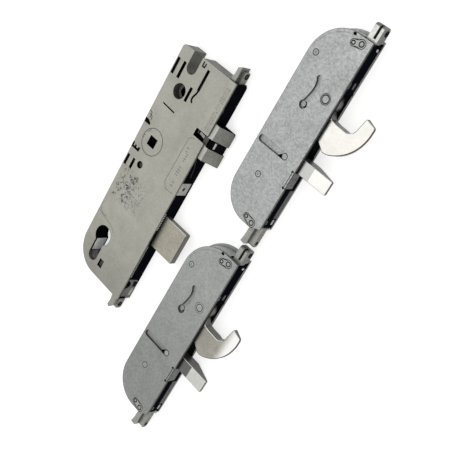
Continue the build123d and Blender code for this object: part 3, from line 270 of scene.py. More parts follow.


# Finishes. Colours are linear, one number for a grey; dark and light are the two ends of the mottling.
# A finish takes every value that it doesn't give from the one it is like.
# creaseShade is the colour of the painted shade in gaps and corners; creaseShadeSettings gives its reach in mm
# and its strength
finishValues = {
    "castZinc": {
        "dark": (0.325, 0.321, 0.279), "light": (0.441, 0.443, 0.392), "wear": (0.552, 0.552, 0.508),
        "creaseShade": (0.05, 0.05, 0.045), "metallic": 0.35, "rough": (0.46, 0.58),
        "shade": {"from": -0.065, "to": -0.125, "least": 0.78}, "mottle": (60, 1000, 0.25, 1.6),
        "grain": (1400, 260, 0.35), "bump": 0.03, "edge": (0.3, 0.7), "creaseShadeSettings": (0.7, 0.6),
        "scratch": (55, 0.12),
        "smudges": [
            {
                "Left": -0.0145, "Right": 0.009, "Low": -0.06, "High": -0.029, "Scale": 420, "Cut": 0.54,
                "Rim": 0.004, "tone": 0.045,
            },
            {
                "Left": -0.003, "Right": 0.0205, "Low": -0.061, "High": -0.031, "Scale": 650, "Cut": 0.55,
                "Rim": 0.003, "tone": 0.15,
            },
        ],
    },
    "castShade": {
        "dark": (0.172, 0.17, 0.149), "light": (0.271, 0.271, 0.24), "wear": (0.452, 0.452, 0.416),
        "creaseShade": (0.04, 0.04, 0.036), "metallic": 0.3, "rough": (0.46, 0.58), "mottle": (90, 900, 0.3, 1.4),
        "grain": (1400, 260, 0.35), "bump": 0.03, "edge": (0.1, 0.2), "creaseShadeSettings": (0.5, 0.5),
        "scratch": (55, 0.1),
    },
    # a darker copy for side faces of the case: painted shade
    "castZincShadedSide": {
        "like": "castShade", "dark": (0.094, 0.093, 0.084), "light": (0.183, 0.181, 0.165),
        "wear": (0.321, 0.321, 0.294), "creaseShade": (0.02, 0.02, 0.018), "metallic": 0.35, "rough": (0.45, 0.6),
        "mottle": (90, 900, 0.3, 1.6), "bump": 0.045, "edge": (0.3, 0.5), "creaseShadeSettings": (2, 0.8),
        "scratch": (55, 0.2),
    },
    "zincFitting": {
        "dark": (0.23, 0.23, 0.213), "light": (0.391, 0.391, 0.366), "wear": (0.561, 0.561, 0.536),
        "creaseShade": (0.03, 0.03, 0.028), "metallic": 0.5, "rough": (0.3, 0.44), "mottle": (150, 800, 0.3, 1.5),
        "grain": (1200, 300, 0.5), "bump": 0.03, "edge": (0.3, 0.8), "creaseShadeSettings": (1.2, 1), "scratch": (60, 0.3),
    },
    # a darker copy for side faces of the fittings: painted shade
    "zincFittingShadedSide": {
        "like": "zincFitting", "dark": (0.085, 0.085, 0.078), "light": (0.213, 0.213, 0.2),
        "wear": (0.425, 0.425, 0.4), "creaseShade": (0.015, 0.015, 0.014), "rough": (0.3, 0.46),
        "mottle": (150, 800, 0.3, 1.6), "edge": (0.3, 0.7), "creaseShadeSettings": (1.4, 1),
    },
    "latchZinc": {
        "like": "castShade", "dark": (0.386, 0.386, 0.351), "light": (0.526, 0.526, 0.491),
        "wear": (0.649, 0.649, 0.623), "metallic": 0.4, "rough": (0.38, 0.5),
        "mottle": (90, 900, 0.25, 1.4), "grain": (1300, 300, 0.5), "edge": (0.3, 0.7), "creaseShadeSettings": (0.8, 0.8),
        "scratch": (60, 0.25),
    },
    # the latch's slope, darker than its flat top: painted shade
    "latchSlopeShaded": {
        "like": "latchZinc", "dark": (0.123, 0.123, 0.11), "light": (0.19, 0.191, 0.173),
        "wear": (0.438, 0.438, 0.412), "creaseShade": (0.03, 0.03, 0.027), "mottle": (110, 900, 0.3, 1.6),
        "edge": (0.4, 0.9), "scratch": (60, 0.3),
    },
    "galvanised": {
        "dark": (0.293, 0.306, 0.301), "light": (0.451, 0.466, 0.459), "wear": (0.595, 0.604, 0.595),
        "creaseShade": 0.02, "metallic": 0.5, "rough": (0.38, 0.54),
        "shade": {"from": 0.125, "to": 0.165, "least": 1.12}, "mottle": (90, 900, 0.5, 1.6),
        "grain": (1100, 200, 0.4), "bump": 0.02, "edge": (0.2, 0.3), "creaseShadeSettings": (0.6, 0.8),
        "scratch": (40, 0.16),
    },
    # darker copy of galvanised for the lower case: painted shade
    "galvanisedShaded": {
        "like": "galvanised", "dark": (0.27, 0.279, 0.273), "light": (0.398, 0.408, 0.4),
        "wear": (0.527, 0.536, 0.527), "rough": (0.42, 0.56),
        "shade": {"from": -0.045, "to": -0.155, "least": 0.78}, "mottle": (80, 900, 0.42, 1.4),
        "scratch": (40, 0.12),
    },
    # a darker copy for the plates' side faces: painted shade
    "galvanisedShadedSide": {
        "like": "latchZinc", "dark": 0.053, "light": 0.149, "wear": 0.351, "creaseShade": 0.01,
        "rough": (0.35, 0.55), "mottle": (130, 950, 0.4, 1.5), "grain": (1100, 200, 0.4),
        "edge": (0.2, 0.4), "creaseShadeSettings": (1.2, 0.8), "scratch": (40, 0.2),
    },
    "keySteel": {
        "dark": (0.255, 0.264, 0.259), "light": (0.425, 0.434, 0.425), "wear": (0.595, 0.595, 0.587),
        "creaseShade": 0.02, "metallic": 0.5, "rough": (0.32, 0.46), "mottle": (300, 1200, 0.4, 1.4),
        "grain": (1500, 400, 0.5), "bump": 0.02, "edge": (0.12, 0.3), "creaseShadeSettings": (0.4, 0.7),
        "scratch": (120, 0.2),
    },
    "pivotRing": {
        "like": "keySteel", "dark": (0.096, 0.101, 0.099), "light": (0.193, 0.2, 0.196),
        "wear": (0.368, 0.377, 0.368), "creaseShade": 0.01, "metallic": 0.4, "rough": (0.4, 0.55),
    },
    "nickel": {
        "dark": (0.515, 0.502, 0.467), "light": (0.636, 0.622, 0.593), "wear": (0.636, 0.629, 0.607),
        "creaseShade": (0.1, 0.095, 0.085), "metallic": 1, "rough": (0.24, 0.34), "mottle": (50, 900, 0.2, 1.2),
        "grain": (1500, 400, 0.4), "bump": 0.01, "edge": (0.3, 0.5), "creaseShadeSettings": (0.6, 0.3),
        "scratch": (70, 0.25),
    },
    # darker copy of nickel for the lower hook: painted shade
    "nickelWarmShaded": {
        "like": "nickel", "dark": (0.266, 0.255, 0.222), "light": (0.403, 0.389, 0.344),
        "wear": (0.592, 0.577, 0.54), "rough": (0.28, 0.38), "mottle": (90, 900, 0.3, 1.5),
        "scratch": (70, 0.3), "fade": {"from": 0.1418, "to": 0.151, "tone": (0.925, 0.916, 0.897)},
    },
    "nickelBolt": {
        "like": "nickel", "dark": (0.586, 0.578, 0.549), "light": (0.684, 0.675, 0.651),
        "wear": (0.666, 0.659, 0.644), "mottle": (60, 900, 0.2, 1.2), "creaseShadeSettings": (0.5, 0.3),
        "step": {"x": 0.1329, "tone": (0.399, 0.399, 0.386)},
    },
    # darker copy for the lower square bolt: painted shade
    "nickelBoltShaded": {
        "like": "nickelBolt", "dark": (0.488, 0.485, 0.459), "light": (0.703, 0.699, 0.673),
        "wear": (0.725, 0.718, 0.703), "mottle": (140, 900, 0.25, 1.7), "scratch": (70, 0.3),
        "step": {"x": 0.1329, "tone": (0.133, 0.137, 0.131)},
    },
    # dark bevels turned away from the light: painted shade
    "boltRimShade": {
        "like": "nickel", "dark": (0.032, 0.032, 0.03), "light": (0.068, 0.068, 0.063),
        "wear": (0.181, 0.181, 0.172), "creaseShade": (0.02, 0.02, 0.018), "metallic": 0.3, "rough": (0.4, 0.5),
        "specular": 0.2, "mottle": (90, 900, 0.2, 1.4), "edge": (0.1, 0.2), "creaseShadeSettings": (0.6, 0.5),
        "scratch": (70, 0.1),
    },
    # a darker copy for the sides of the bolts and hooks: painted shade
    "nickelShadedSide": {
        "like": "nickel", "dark": (0.083, 0.083, 0.078), "light": (0.165, 0.164, 0.155),
        "wear": (0.413, 0.413, 0.388), "creaseShade": (0.02, 0.02, 0.018), "metallic": 0.6, "rough": (0.3, 0.42),
        "mottle": (90, 900, 0.2, 1.4), "bump": 0.02, "edge": (0.25, 0.5), "creaseShadeSettings": (1.2, 0.7),
        "scratch": (70, 0.2),
    },
    "deadboltTop": {
        "dark": (0.263, 0.248, 0.204), "light": (0.444, 0.418, 0.351), "wear": (0.629, 0.614, 0.57),
        "creaseShade": (0.08, 0.075, 0.065), "metallic": 1, "rough": (0.36, 0.46),
        "mottle": (48, 1100, 0.35, 1.5), "grain": (1200, 400, 0.4), "bump": 0.02, "edge": (0.5, 1),
        "creaseShadeSettings": (1.2, 0.4), "scratch": (90, 0.3),
    },
    "brightSteel": {
        "like": "keySteel", "dark": (0.361, 0.365, 0.361), "light": (0.562, 0.562, 0.554),
        "wear": (0.682, 0.682, 0.666), "creaseShade": 0.03, "metallic": 0.7, "rough": (0.24, 0.38),
        "mottle": (300, 1200, 0.3, 1.4), "bump": 0.015, "edge": (0.15, 0.4), "creaseShadeSettings": (0.5, 0.8),
    },
    # a darker copy for the connectors' end faces: painted shade
    "connectorEnd": {
        "like": "zincFittingShadedSide", "dark": (0.114, 0.114, 0.107), "light": (0.21, 0.21, 0.2),
        "wear": (0.438, 0.438, 0.412), "metallic": 0.4, "rough": (0.36, 0.5),
        "mottle": (190, 800, 0.3, 1.8), "bump": 0.04, "edge": (0.3, 0.6), "creaseShadeSettings": (1, 1),
    },
    # light bevels facing the light: painted highlight
    "edgeHighlight": {
        "like": "nickel", "dark": (0.684, 0.68, 0.658), "light": (0.833, 0.829, 0.807),
        "wear": (0.877, 0.877, 0.859), "creaseShade": (0.2, 0.2, 0.19), "metallic": 0.4, "rough": (0.25, 0.35),
        "mottle": (150, 800, 0.3, 1.2), "bump": 0.005, "edge": (0.1, 0.2), "creaseShadeSettings": (0.3, 0.2),
        "scratch": (60, 0.1),
    },
    # lighter copy for the upper top connector: painted light
    "connectorLit": {
        "like": "zincFitting", "dark": (0.512, 0.512, 0.496), "light": (0.785, 0.785, 0.768),
        "wear": (0.826, 0.826, 0.809), "metallic": 0.6, "creaseShadeSettings": (1, 0.8),
    },
    "lightMetal": {
        "like": "brightSteel", "dark": (0.5, 0.5, 0.49), "light": (0.72, 0.72, 0.7),
        "wear": (0.85, 0.85, 0.83), "creaseShade": 0.2, "metallic": 0, "rough": (0.4, 0.5), "bump": 0.01,
        "edge": (0.1, 0.2), "creaseShadeSettings": (0.3, 0.3),
    },
    "innerGrey": {
        "like": "pivotRing", "dark": (0.05, 0.051, 0.049), "light": (0.1, 0.1, 0.097),
        "wear": (0.226, 0.226, 0.217), "metallic": 0.3, "specular": 0.2, "mottle": (160, 900, 0.3, 1.4),
        "grain": (1200, 300, 0.5), "edge": (0.1, 0.3), "creaseShadeSettings": (0.8, 0.5), "scratch": (90, 0.2),
    },
    "legGrey": {
        "like": "innerGrey", "dark": (0.153, 0.155, 0.147), "light": (0.288, 0.29, 0.278),
        "wear": (0.362, 0.362, 0.353), "creaseShade": 0.02, "creaseShadeSettings": (0.6, 0.4),
    },
    "footShade": {
        "like": "innerGrey", "dark": (0.068, 0.069, 0.065), "light": (0.158, 0.16, 0.152),
        "wear": (0.362, 0.362, 0.353), "rough": (0.38, 0.5), "specular": 0.3,
        "mottle": (120, 900, 0.3, 1.9), "bump": 0.03, "edge": (0.2, 0.5), "creaseShadeSettings": (1.2, 1),
        "scratch": (90, 0.3),
    },
    "sliderSteel": {
        "like": "lightMetal", "dark": (0.721, 0.716, 0.752), "light": (0.989, 0.984, 1), "wear": 0.98,
        "creaseShade": 0.1, "rough": (0.45, 0.55), "mottle": (160, 900, 0.3, 1.2), "grain": (1200, 300, 0.5),
        "edge": (0.1, 0.1), "creaseShadeSettings": (0.3, 0.2), "scratch": (90, 0.1),
    },
    "screwSeat": {
        "like": "sliderSteel", "dark": (0.118, 0.118, 0.109), "light": (0.235, 0.235, 0.217),
        "wear": (0.362, 0.362, 0.344), "creaseShade": 0.03, "metallic": 0.3, "rough": (0.4, 0.5), "specular": 0.3,
        "edge": (0.2, 0.6), "creaseShadeSettings": (0.3, 0.3),
    },
    "trayEdge": {
        "like": "screwSeat", "dark": (0.26, 0.265, 0.265), "light": (0.44, 0.445, 0.44), "wear": 0.6,
        "creaseShade": 0.02, "metallic": 0, "mottle": (160, 900, 0.3, 1.4), "edge": (0.2, 0.4),
        "creaseShadeSettings": (0.3, 0.5),
    },
    "blackSteel": {
        "like": "keySteel", "dark": (0.0022, 0.0024, 0.0042), "light": (0.0075, 0.0082, 0.012),
        "wear": (0.06, 0.06, 0.065), "creaseShade": 0.001, "metallic": 0, "rough": (0.3, 0.45), "specular": 0,
        "mottle": (90, 700, 0.2, 1.5), "grain": (900, 200, 0.5), "creaseShadeSettings": (1, 0.8), "scratch": (80, 0.1),
    },
    "blackNylon": {
        "like": "blackSteel", "dark": (0.0025, 0.0025, 0.003), "light": (0.007, 0.007, 0.008), "wear": 0.03,
        "rough": (0.4, 0.55), "mottle": (120, 900, 0.3, 1.2), "grain": (1200, 300, 0.5),
        "edge": (0.15, 0.2), "creaseShadeSettings": (0.8, 0.6), "scratch": (90, 0.1),
    },
    # dark grey for faces deep inside the cases and for the parts inside: painted shade
    "insideShade": {
        "like": "blackNylon", "dark": (0.008, 0.008, 0.0078), "light": (0.024, 0.024, 0.0225),
        "wear": (0.1, 0.1, 0.095), "creaseShade": 0.002, "rough": (0.5, 0.65), "mottle": (120, 900, 0.3, 1.4),
        "bump": 0.03, "creaseShadeSettings": (2, 0.8), "scratch": (60, 0.1),
    },
    # near black for faces in gaps, holes and openings and for the sides of pins and keys, where shade falls:
    # painted shade
    "blackShade": {
        "like": "blackNylon", "dark": 0.002, "light": (0.0055, 0.0055, 0.0052), "wear": 0.02,
        "rough": (0.6, 0.7), "bump": 0.01, "edge": (0.05, 0.05), "creaseShadeSettings": (0.5, 0.3), "scratch": (60, 0.05),
    },
    "springWire": {
        "like": "nickel", "dark": (0.185, 0.185, 0.189), "light": (0.311, 0.311, 0.318), "wear": 0.444,
        "creaseShade": 0.01, "rough": (0.3, 0.4), "mottle": (300, 1200, 0.3, 1.2), "grain": (1600, 500, 0.5),
        "edge": (0.1, 0.2), "creaseShadeSettings": (0.6, 1), "scratch": (150, 0.2),
    },
}


def fullFinish(name):
    values = finishValues[name]
    return {**fullFinish(values["like"]), **values} if "like" in values else values


def makeFinish(name, values):
    material = bpy.data.materials.new(name)
    material.use_nodes = True
    tree = material.node_tree
    shader = tree.nodes["Principled BSDF"].inputs
    shader["Metallic"].default_value = values["metallic"]
    shader["Specular IOR Level"].default_value = values.get("specular", 0.5)
    patches = zip(("Patch Scale", "Speckle Scale", "Speckle Share", "Contrast"), values["mottle"])
    mottle = placeGroup(tree, "mottle", dict(patches))
    radius, amount = values["edge"]
    wear = placeGroup(tree, "wear", {"Radius": radius * mm, "Amount": amount})
    # painted shade in gaps and inner corners, from ambient occlusion
    reach, depth = values["creaseShadeSettings"]
    creaseShade = placeGroup(tree, "creaseShade", {"Distance": reach * mm, "Amount": depth})
    scratch = placeGroup(tree, "scratches", dict(zip(("Scale", "Amount"), values["scratch"])))
    colour = mixColour(tree, mottle, rgba(values["dark"]), values["light"])
    if "step" in values:
        # the near part of the bolt is coloured darker than its far end
        near = mathNode(tree, "LESS_THAN", placeAlong(tree, 0), values["step"]["x"])
        colour = mixColour(tree, near, colour, values["step"]["tone"])
    if "shade" in values:
        # painted shade: the colour is scaled darker or lighter towards one end of the case
        tint = ramp(tree, 1, values["shade"], 1, values["shade"]["least"])
        colour = addNode(tree, "ShaderNodeVectorMath", {0: colour, "Scale": tint}, operation="SCALE")
    if "fade" in values:
        # the colour turns brighter towards the tip
        colour = mixColour(tree, ramp(tree, 0, values["fade"]), colour, values["fade"]["tone"])
    for smudge in values.get("smudges", []):
        given = {label: amount for label, amount in smudge.items() if label != "tone"}
        tone = smudge["tone"]
        colour = mixColour(tree, placeGroup(tree, "smudge", given), colour, (tone, tone, tone * 0.96))
    # scratches and rubbed corners are wear; the crease mask paints shade
    for mask, tone in ((scratch, "wear"), (wear, "wear"), (creaseShade, "creaseShade")):
        colour = mixColour(tree, mask, colour, values[tone])
    tree.links.new(colour, shader["Base Color"])
    low, high = values["rough"]
    rough = addNode(tree, "ShaderNodeMath", {0: mottle, 1: low - high, 2: high}, operation="MULTIPLY_ADD")
    tree.links.new(plus(tree, rough, times(tree, creaseShade, 0.2)), shader["Roughness"])
    grain = placeGroup(tree, "grain", dict(zip(("Scale", "Coarse Scale", "Coarse Share"), values["grain"])))
    height = minus(tree, grain, times(tree, scratch, 0.6))
    bump = addNode(tree, "ShaderNodeBump", {"Height": height, "Distance": values["bump"] * mm})
    tree.links.new(bump, shader["Normal"])
    return material


finishes = {name: makeFinish(name, fullFinish(name)) for name in finishValues}
print("finishes built:", len(finishes))


# Outlines of the cases, for telling outer walls from inner ones. Millimetres.
outlineValues = {
    "main": {"left": -17.0, "right": 43.4, "top": 79.3, "bottom": -124.5, "cornerRadius": 24.0},
    "notch": {"x": 0.4, "y": 67.4, "radius": 5.1},
    "cylinder": {"y": -92.0, "radius": 8.5, "legEnd": -111.5, "legRadius": 5.0, "legLow": -109},
    "screwHole": {"x": 0.2, "y": 46.9, "cover": 6.5, "seat": 6.4, "bore": 4.6},
    "latch": {"caseFace": 42.5, "slopeStart": 47.4, "insert": (25.8, 33.4)},
    "hookCase": {
        "left": -32.0, "right": 9.2, "top": 48.5, "bottom": -107.5, "topRadius": 28.6, "bottomRadius": 24.3,
        "pivots": {"upper_": (113.4, 110.3), "lower_": (113.4, -74.3)},
    },
}


def mainWallGap(x, y, values=outlineValues):
    # distance from the nearest outer wall of the gearbox case, the notch included
    case = values["main"]
    gap = min(x - case["left"], case["right"] - x, case["top"] - y, y - case["bottom"])
    radius = case["cornerRadius"]
    cornerX, cornerY = case["left"] + radius, case["bottom"] + radius
    if x < cornerX and y < cornerY:
        gap = radius - math.hypot(x - cornerX, y - cornerY)
    notch = values["notch"]
    toNotch = math.hypot(x - notch["x"], min(y - notch["y"], 0.0)) - notch["radius"]
    return min(abs(gap), abs(toNotch)) if y > notch["y"] - notch["radius"] - 1 else abs(gap)


def cylinderGap(x, y, values=outlineValues["cylinder"]):
    # signed distances from the round and the leg of the cylinder hole
    barrel = math.hypot(x, y - values["y"]) - values["radius"]
    below = max(values["legEnd"] - y, 0.0)
    leg = math.hypot(x, below) - values["legRadius"] if y < values["y"] else 99.0
    return barrel, leg


def inLegEnd(x, y, values=outlineValues["cylinder"]):
    return abs(cylinderGap(x, y)[1]) < near["hole"] and y < values["legLow"]


def fromScrewHole(x, y, values=outlineValues["screwHole"]):
    return math.hypot(x - values["x"], y - values["y"])


def hookWallGap(x, y, values=outlineValues["hookCase"]):
    gap = min(x - values["left"], values["right"] - x, values["top"] - y, y - values["bottom"])
    for radius, cornerY, beyond in (
        (values["topRadius"], values["top"] - values["topRadius"], 1),
        (values["bottomRadius"], values["bottom"] + values["bottomRadius"], -1),
    ):
        cornerX = values["left"] + radius
        if x < cornerX and (y - cornerY) * beyond > 0:
            gap = radius - math.hypot(x - cornerX, y - cornerY)
    return gap


# Limits that tell faces apart: how far a face looks up, 1 for straight up and -1 for straight down,
# and how near to an outline, how high or how far out it lies, in mm
look = {"flat": 0.97, "up": 0.9, "slope": 0.35, "side": 0.05, "down": -0.5, "under": -0.6}
near = {
    "wall": 0.5, "shellWall": 0.45, "hole": 0.4, "back": 0.8, "trayFloor": 2, "trayReach": 60, "inCover": 14,
    "pivotTop": 15.2, "pivotPin": 2.8, "connectorStep": 9, "connectorEnd": 48,
}


def onBack(z, out):
    return out.z < look["down"] and z < near["back"]


# Each painter names the finish of one face from its middle (mm), its outward direction
# and how far its farthest corner lies from the middle of the case's round parts
# Faces inside the cases, in gaps and in holes take near-black finishes, and faces turned sideways take darker
# copies: painted shade
def paintCover(x, y, z, out, reach, hole=outlineValues["screwHole"]):
    if out.z > look["up"]:
        return "castZinc"
    if mainWallGap(x, y) < near["wall"]:
        return "castZinc" if out.z > 0.2 else "castZincShadedSide"
    return "innerGrey" if fromScrewHole(x, y) < hole["cover"] or inLegEnd(x, y) else "blackShade"


def paintShell(x, y, z, out, reach, hole=outlineValues["screwHole"]):
    if onBack(z, out):
        return "castZinc"
    if mainWallGap(x, y) < near["shellWall"] and out.z < 0.6:
        return "castZincShadedSide"
    toScrew = fromScrewHole(x, y)
    if toScrew < hole["seat"] and z > 1:
        if toScrew < hole["bore"] and abs(out.z) < 0.5:
            return "blackShade"
        return "screwSeat" if out.z > 0.5 else "innerGrey"
    if inLegEnd(x, y):
        return "innerGrey"
    return "blackShade" if abs(cylinderGap(x, y)[0]) < near["hole"] else "insideShade"


def paintTray(x, y, z, out, reach):
    if onBack(z, out):
        return "galvanised"
    if out.z > look["up"] and z < near["trayFloor"] and reach < near["trayReach"]:
        return "galvanised"
    if hookWallGap(x, y) < near["wall"]:
        atTop = out.y > 0.2 and y > 15
        if out.z > look["up"] or atTop:
            return "galvanised"
        return "trayEdge" if out.x > 0.7 else "galvanisedShadedSide"
    return "insideShade"


def paintFollower(x, y, z, out, reach):
    if out.z > look["up"] and z > near["inCover"]:
        return "castZinc"
    return "blackShade" if z > near["inCover"] or math.hypot(x, y) < 7 else "castZincShadedSide"


def paintLatch(x, y, z, out, reach, latch=outlineValues["latch"]):
    if x < latch["caseFace"]:
        return "blackShade"
    # the slope past slopeStart takes a darker copy: painted shade
    if out.z > look["slope"]:
        return "latchZinc" if x < latch["slopeStart"] else "latchSlopeShaded"
    if out.y > 0.5 or latch["insert"][0] < y < latch["insert"][1]:
        return "blackSteel"
    return "castZincShadedSide"


def paintPivot(x, y, z, out, reach):
    if out.z < look["up"] or z < near["pivotTop"]:
        return "blackShade" if z > near["inCover"] else "brightSteel"
    return "keySteel" if reach < near["pivotPin"] else "pivotRing"


def paintConnector(x, y, z, out, reach):
    if out.z > look["flat"] and z < near["connectorStep"]:
        return "blackShade"
    if y > near["connectorEnd"] and out.y > 0.3:
        return "connectorEnd"
    return "zincFitting" if abs(out.z) > look["up"] else "zincFittingShadedSide"


def paintBolt(top, side, rim="boltRimShade", bright="edgeHighlight"):
    # bevels of the edges: painted highlight where they face up the lock and out of the covers, painted shade
    # where they turn away
    def paint(x, y, z, out, reach):
        if out.z > look["flat"] or out.z < look["under"]:
            return top
        if out.z < look["side"]:
            return side
        if out.y < 0.25:
            return rim
        return bright if out.y > 0.25 and out.z > 0.5 else side
    return paint


def topAndSides(top, side, gap=None):
    # flat tops, sides in a darker copy with painted shade, and a band of painted shade where an edge is
    # rounded
    def paint(x, y, z, out, reach):
        if out.z > look["flat"] or out.z < look["under"]:
            return top
        if gap and abs(out.z) > look["side"]:
            return gap
        return top if out.z > 0.6 else side
    return paint


# Copies of the CAD nodes with rounded edges. Every copy lies where its node lies.
def roundedCopy(node, values, offset):
    mesh = frame["nodes"][node].data.copy()
    mesh.name = node + "_rounded"
    mesh.materials.clear()
    shape = bmesh.new()
    shape.from_mesh(mesh)
    bmesh.ops.remove_doubles(shape, verts=shape.verts, dist=0.002 * mm)
    bmesh.ops.dissolve_limit(shape, angle_limit=math.radians(0.5), verts=shape.verts, edges=shape.edges)
    shape.to_mesh(mesh)
    shape.free()
    piece = linkObject(node + "_rounded", mesh)
    roundEdges(piece, values["edge"], values.get("sharpness", 40), values.get("clamped", False))
    paintFaces(piece, values["paint"], offset, values.get("renamed", {}))
    finishSurface(piece)
    return piece


def roundEdges(piece, width, sharpness=40, clamped=False):
    # clamped where short edges next to a chamfer would shoot out of the piece
    bevel = piece.modifiers.new("roundedEdges", "BEVEL")
    bevel.width = width * mm
    bevel.segments = 2
    bevel.limit_method = "ANGLE"
    bevel.angle_limit = math.radians(sharpness)
    bevel.use_clamp_overlap = clamped
    piece.data = evaluatedMesh(piece)
    piece.modifiers.clear()


def paintFaces(piece, paint, offset=(0, 0), renamed=None):
    order = {}
    for face in piece.data.polygons:
        x, y, z = (value / mm for value in face.center)
        corners = (piece.data.vertices[index].co / mm for index in face.vertices)
        reach = max(math.hypot(corner.x - offset[0], corner.y - offset[1]) for corner in corners)
        name = paint(x - offset[0], y - offset[1], z, face.normal, reach)
        name = (renamed or {}).get(name, name)
        if name not in order:
            order[name] = len(order)
            piece.data.materials.append(finishes[name])
        face.material_index = order[name]


def finishSurface(piece, sharp=16):
    for face in piece.data.polygons:
        face.use_smooth = True
    piece.data.set_sharp_from_angle(angle=math.radians(sharp))


def hand(piece, body, slot, *nodes):
    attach(piece, body)
    if nodes:
        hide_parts(*nodes)


def plain(name):
    return lambda x, y, z, out, reach: name


# side faces take the darker copies: painted shade
fitting = topAndSides("zincFitting", "zincFittingShadedSide")
plate = topAndSides("galvanised", "galvanisedShadedSide", gap="blackShade")
keySides = topAndSides("keySteel", "blackShade", gap="blackShade")
# parts inside the cases are coloured dark all over: painted shade
inside = plain("insideShade")
black = plain("blackSteel")
connector = {"edge": 0.3, "clamped": True, "paint": paintConnector, "body": "rail", "slot": "zinc_fitting"}
mainConnector = {**connector, "paint": fitting, "body": "main_rail"}
# which node becomes which rounded piece: edge radius in mm, finish of its faces, slot, and its body
# where that isn't the cases
copyValues = {
    "main_back_shell": {"edge": 0.4, "paint": paintShell, "slot": "cast_zinc"},
    "main_front_cover": {"edge": 0.15, "paint": paintCover, "slot": "cast_zinc"},
    "main_edge_strip": {"edge": 0.15, "paint": black, "slot": "black_steel"},
    "main_edge_boss": {"edge": 0.2, "paint": plain("zincFitting"), "slot": "cast_zinc"},
    "main_follower": {"edge": 0.2, "paint": paintFollower, "body": "follower", "slot": "zinc_fitting"},
    "main_gear_sector": {"edge": 0.12, "paint": inside, "body": "follower", "slot": "bright_steel"},
    "main_drive_rail": {"edge": 0.15, "paint": black, "body": "main_rail", "slot": "black_steel"},
    "main_top_connector": mainConnector,
    "main_bottom_connector": mainConnector,
    "main_latch_bolt": {"edge": 0.35, "paint": paintLatch, "body": "latch", "slot": "zinc_fitting"},
    "main_latch_insert": {"edge": 0.2, "paint": plain("blackNylon"), "body": "latch", "slot": "black_nylon"},
    "main_latch_guide": {"edge": 0.2, "paint": inside, "slot": "bright_steel"},
    "main_deadbolt": {
        "edge": 0.12, "sharpness": 60, "paint": paintBolt("deadboltTop", "nickelShadedSide"),
        "body": "deadbolt", "slot": "nickel_bolt",
    },
    "main_bolt_lever": {"edge": 0.15, "paint": inside, "body": "bolt_lever", "slot": "bright_steel"},
    "back_plate": {"edge": 0.12, "paint": paintTray, "slot": "galvanised_plate"},
    "front_plate": {"edge": 0.15, "paint": plate, "slot": "galvanised_plate"},
    "edge_strip": {"edge": 0.12, "paint": black, "slot": "black_steel"},
    "guide_block": {"edge": 0.25, "paint": plate, "slot": "galvanised_plate"},
    "end_keys": {"edge": 0.25, "paint": keySides, "slot": "bright_steel"},
    "case_rivets": {"edge": 0.15, "paint": topAndSides("keySteel", "blackShade"), "slot": "bright_steel"},
    "hook_pivot": {"edge": 0.25, "paint": paintPivot, "slot": "bright_steel"},
    "hook": {
        "edge": 0.6, "paint": paintBolt("nickel", "nickelShadedSide"), "body": "hook", "slot": "nickel_bolt",
    },
    "drive_pin": {"edge": 0.3, "paint": keySides, "body": "rail", "slot": "bright_steel"},
    "bolt_pin": {"edge": 0.3, "paint": keySides, "body": "bolt", "slot": "bright_steel"},
    "square_bolt": {
        "edge": 0.1, "sharpness": 60, "paint": paintBolt("nickelBolt", "nickelShadedSide"),
        "body": "bolt", "slot": "nickel_bolt",
    },
    "drive_plate": {"edge": 0.12, "paint": plain("galvanised"), "body": "rail", "slot": "galvanised_plate"},
    "top_connector": connector,
    "bottom_connector": connector,
}
# the two hook cases are lit apart: on the lower case some finishes are swapped for darker copies, painted
# shade, and on the upper top connector for a lighter copy, painted light
otherFinishes = {
    "lower_": {
        "galvanised": "galvanisedShaded", "nickel": "nickelWarmShaded", "nickelBolt": "nickelBoltShaded",
        "pivotRing": "galvanisedShaded",
    },
    "upper_top_connector": {"zincFitting": "connectorLit"},
}


def placesOf(key):
    # a key without a case's name stands for that node in both hook cases
    return [""] if key.startswith("main_") else list(hookCases)


def bodyOf(prefix, body):
    return body if body in frame["bodies"] else prefix + body


copies = 0
for key, values in copyValues.items():
    for prefix in placesOf(key):
        node = prefix + key
        offset = outlineValues["hookCase"]["pivots"].get(prefix, (0, 0))
        renamed = otherFinishes.get(node, otherFinishes.get(prefix, {}))
        piece = roundedCopy(node, {**values, "renamed": renamed}, offset)
        hand(piece, bodyOf(prefix, values.get("body", "lock_cases")), values["slot"], node)
        copies += 1
print("rounded copies made:", copies)


# Plain nodes keep their shape and get a finish
keptFinishes = {
    "main_case_screws": "brightSteel", "main_stop_post": "innerGrey", "main_lever_pivot": "brightSteel",
    "main_latch_spring": "springWire", "main_follower_spring": "springWire",
    "main_deadbolt_pin": "brightSteel", "main_rail_rivets": "brightSteel", "connector_rivets": "brightSteel",
}
for key, finish in keptFinishes.items():
    for prefix in placesOf(key):
        for slot in frame["nodes"][prefix + key].material_slots:
            slot.material = finishes[finish]
print("plain nodes finished")


# Geometry Nodes for what repeats and what follows a line

def newTree(name, inputs):
    tree = bpy.data.node_groups.new(name, "GeometryNodeTree")
    inputs = {"Geometry": ("Geometry", None), **inputs, "Material": ("Material", None)}
    for label, (kind, value) in inputs.items():
        socket = tree.interface.new_socket(label, in_out="INPUT", socket_type="NodeSocket" + kind)
        if value is not None:
            socket.default_value = value
    tree.interface.new_socket("Geometry", in_out="OUTPUT", socket_type="NodeSocketGeometry")
    return tree, tree.nodes.new("NodeGroupInput").outputs


def endTree(tree, given, geometry):
    real = addNode(tree, "GeometryNodeRealizeInstances", {"Geometry": geometry})
    dressed = addNode(tree, "GeometryNodeSetMaterial", {"Geometry": real, "Material": given["Material"]})
    tree.links.new(dressed, tree.nodes.new("NodeGroupOutput").inputs[0])
    return tree


def circle(tree, radius, corners=8):
    return addNode(tree, "GeometryNodeCurvePrimitiveCircle", {"Resolution": corners, "Radius": radius})


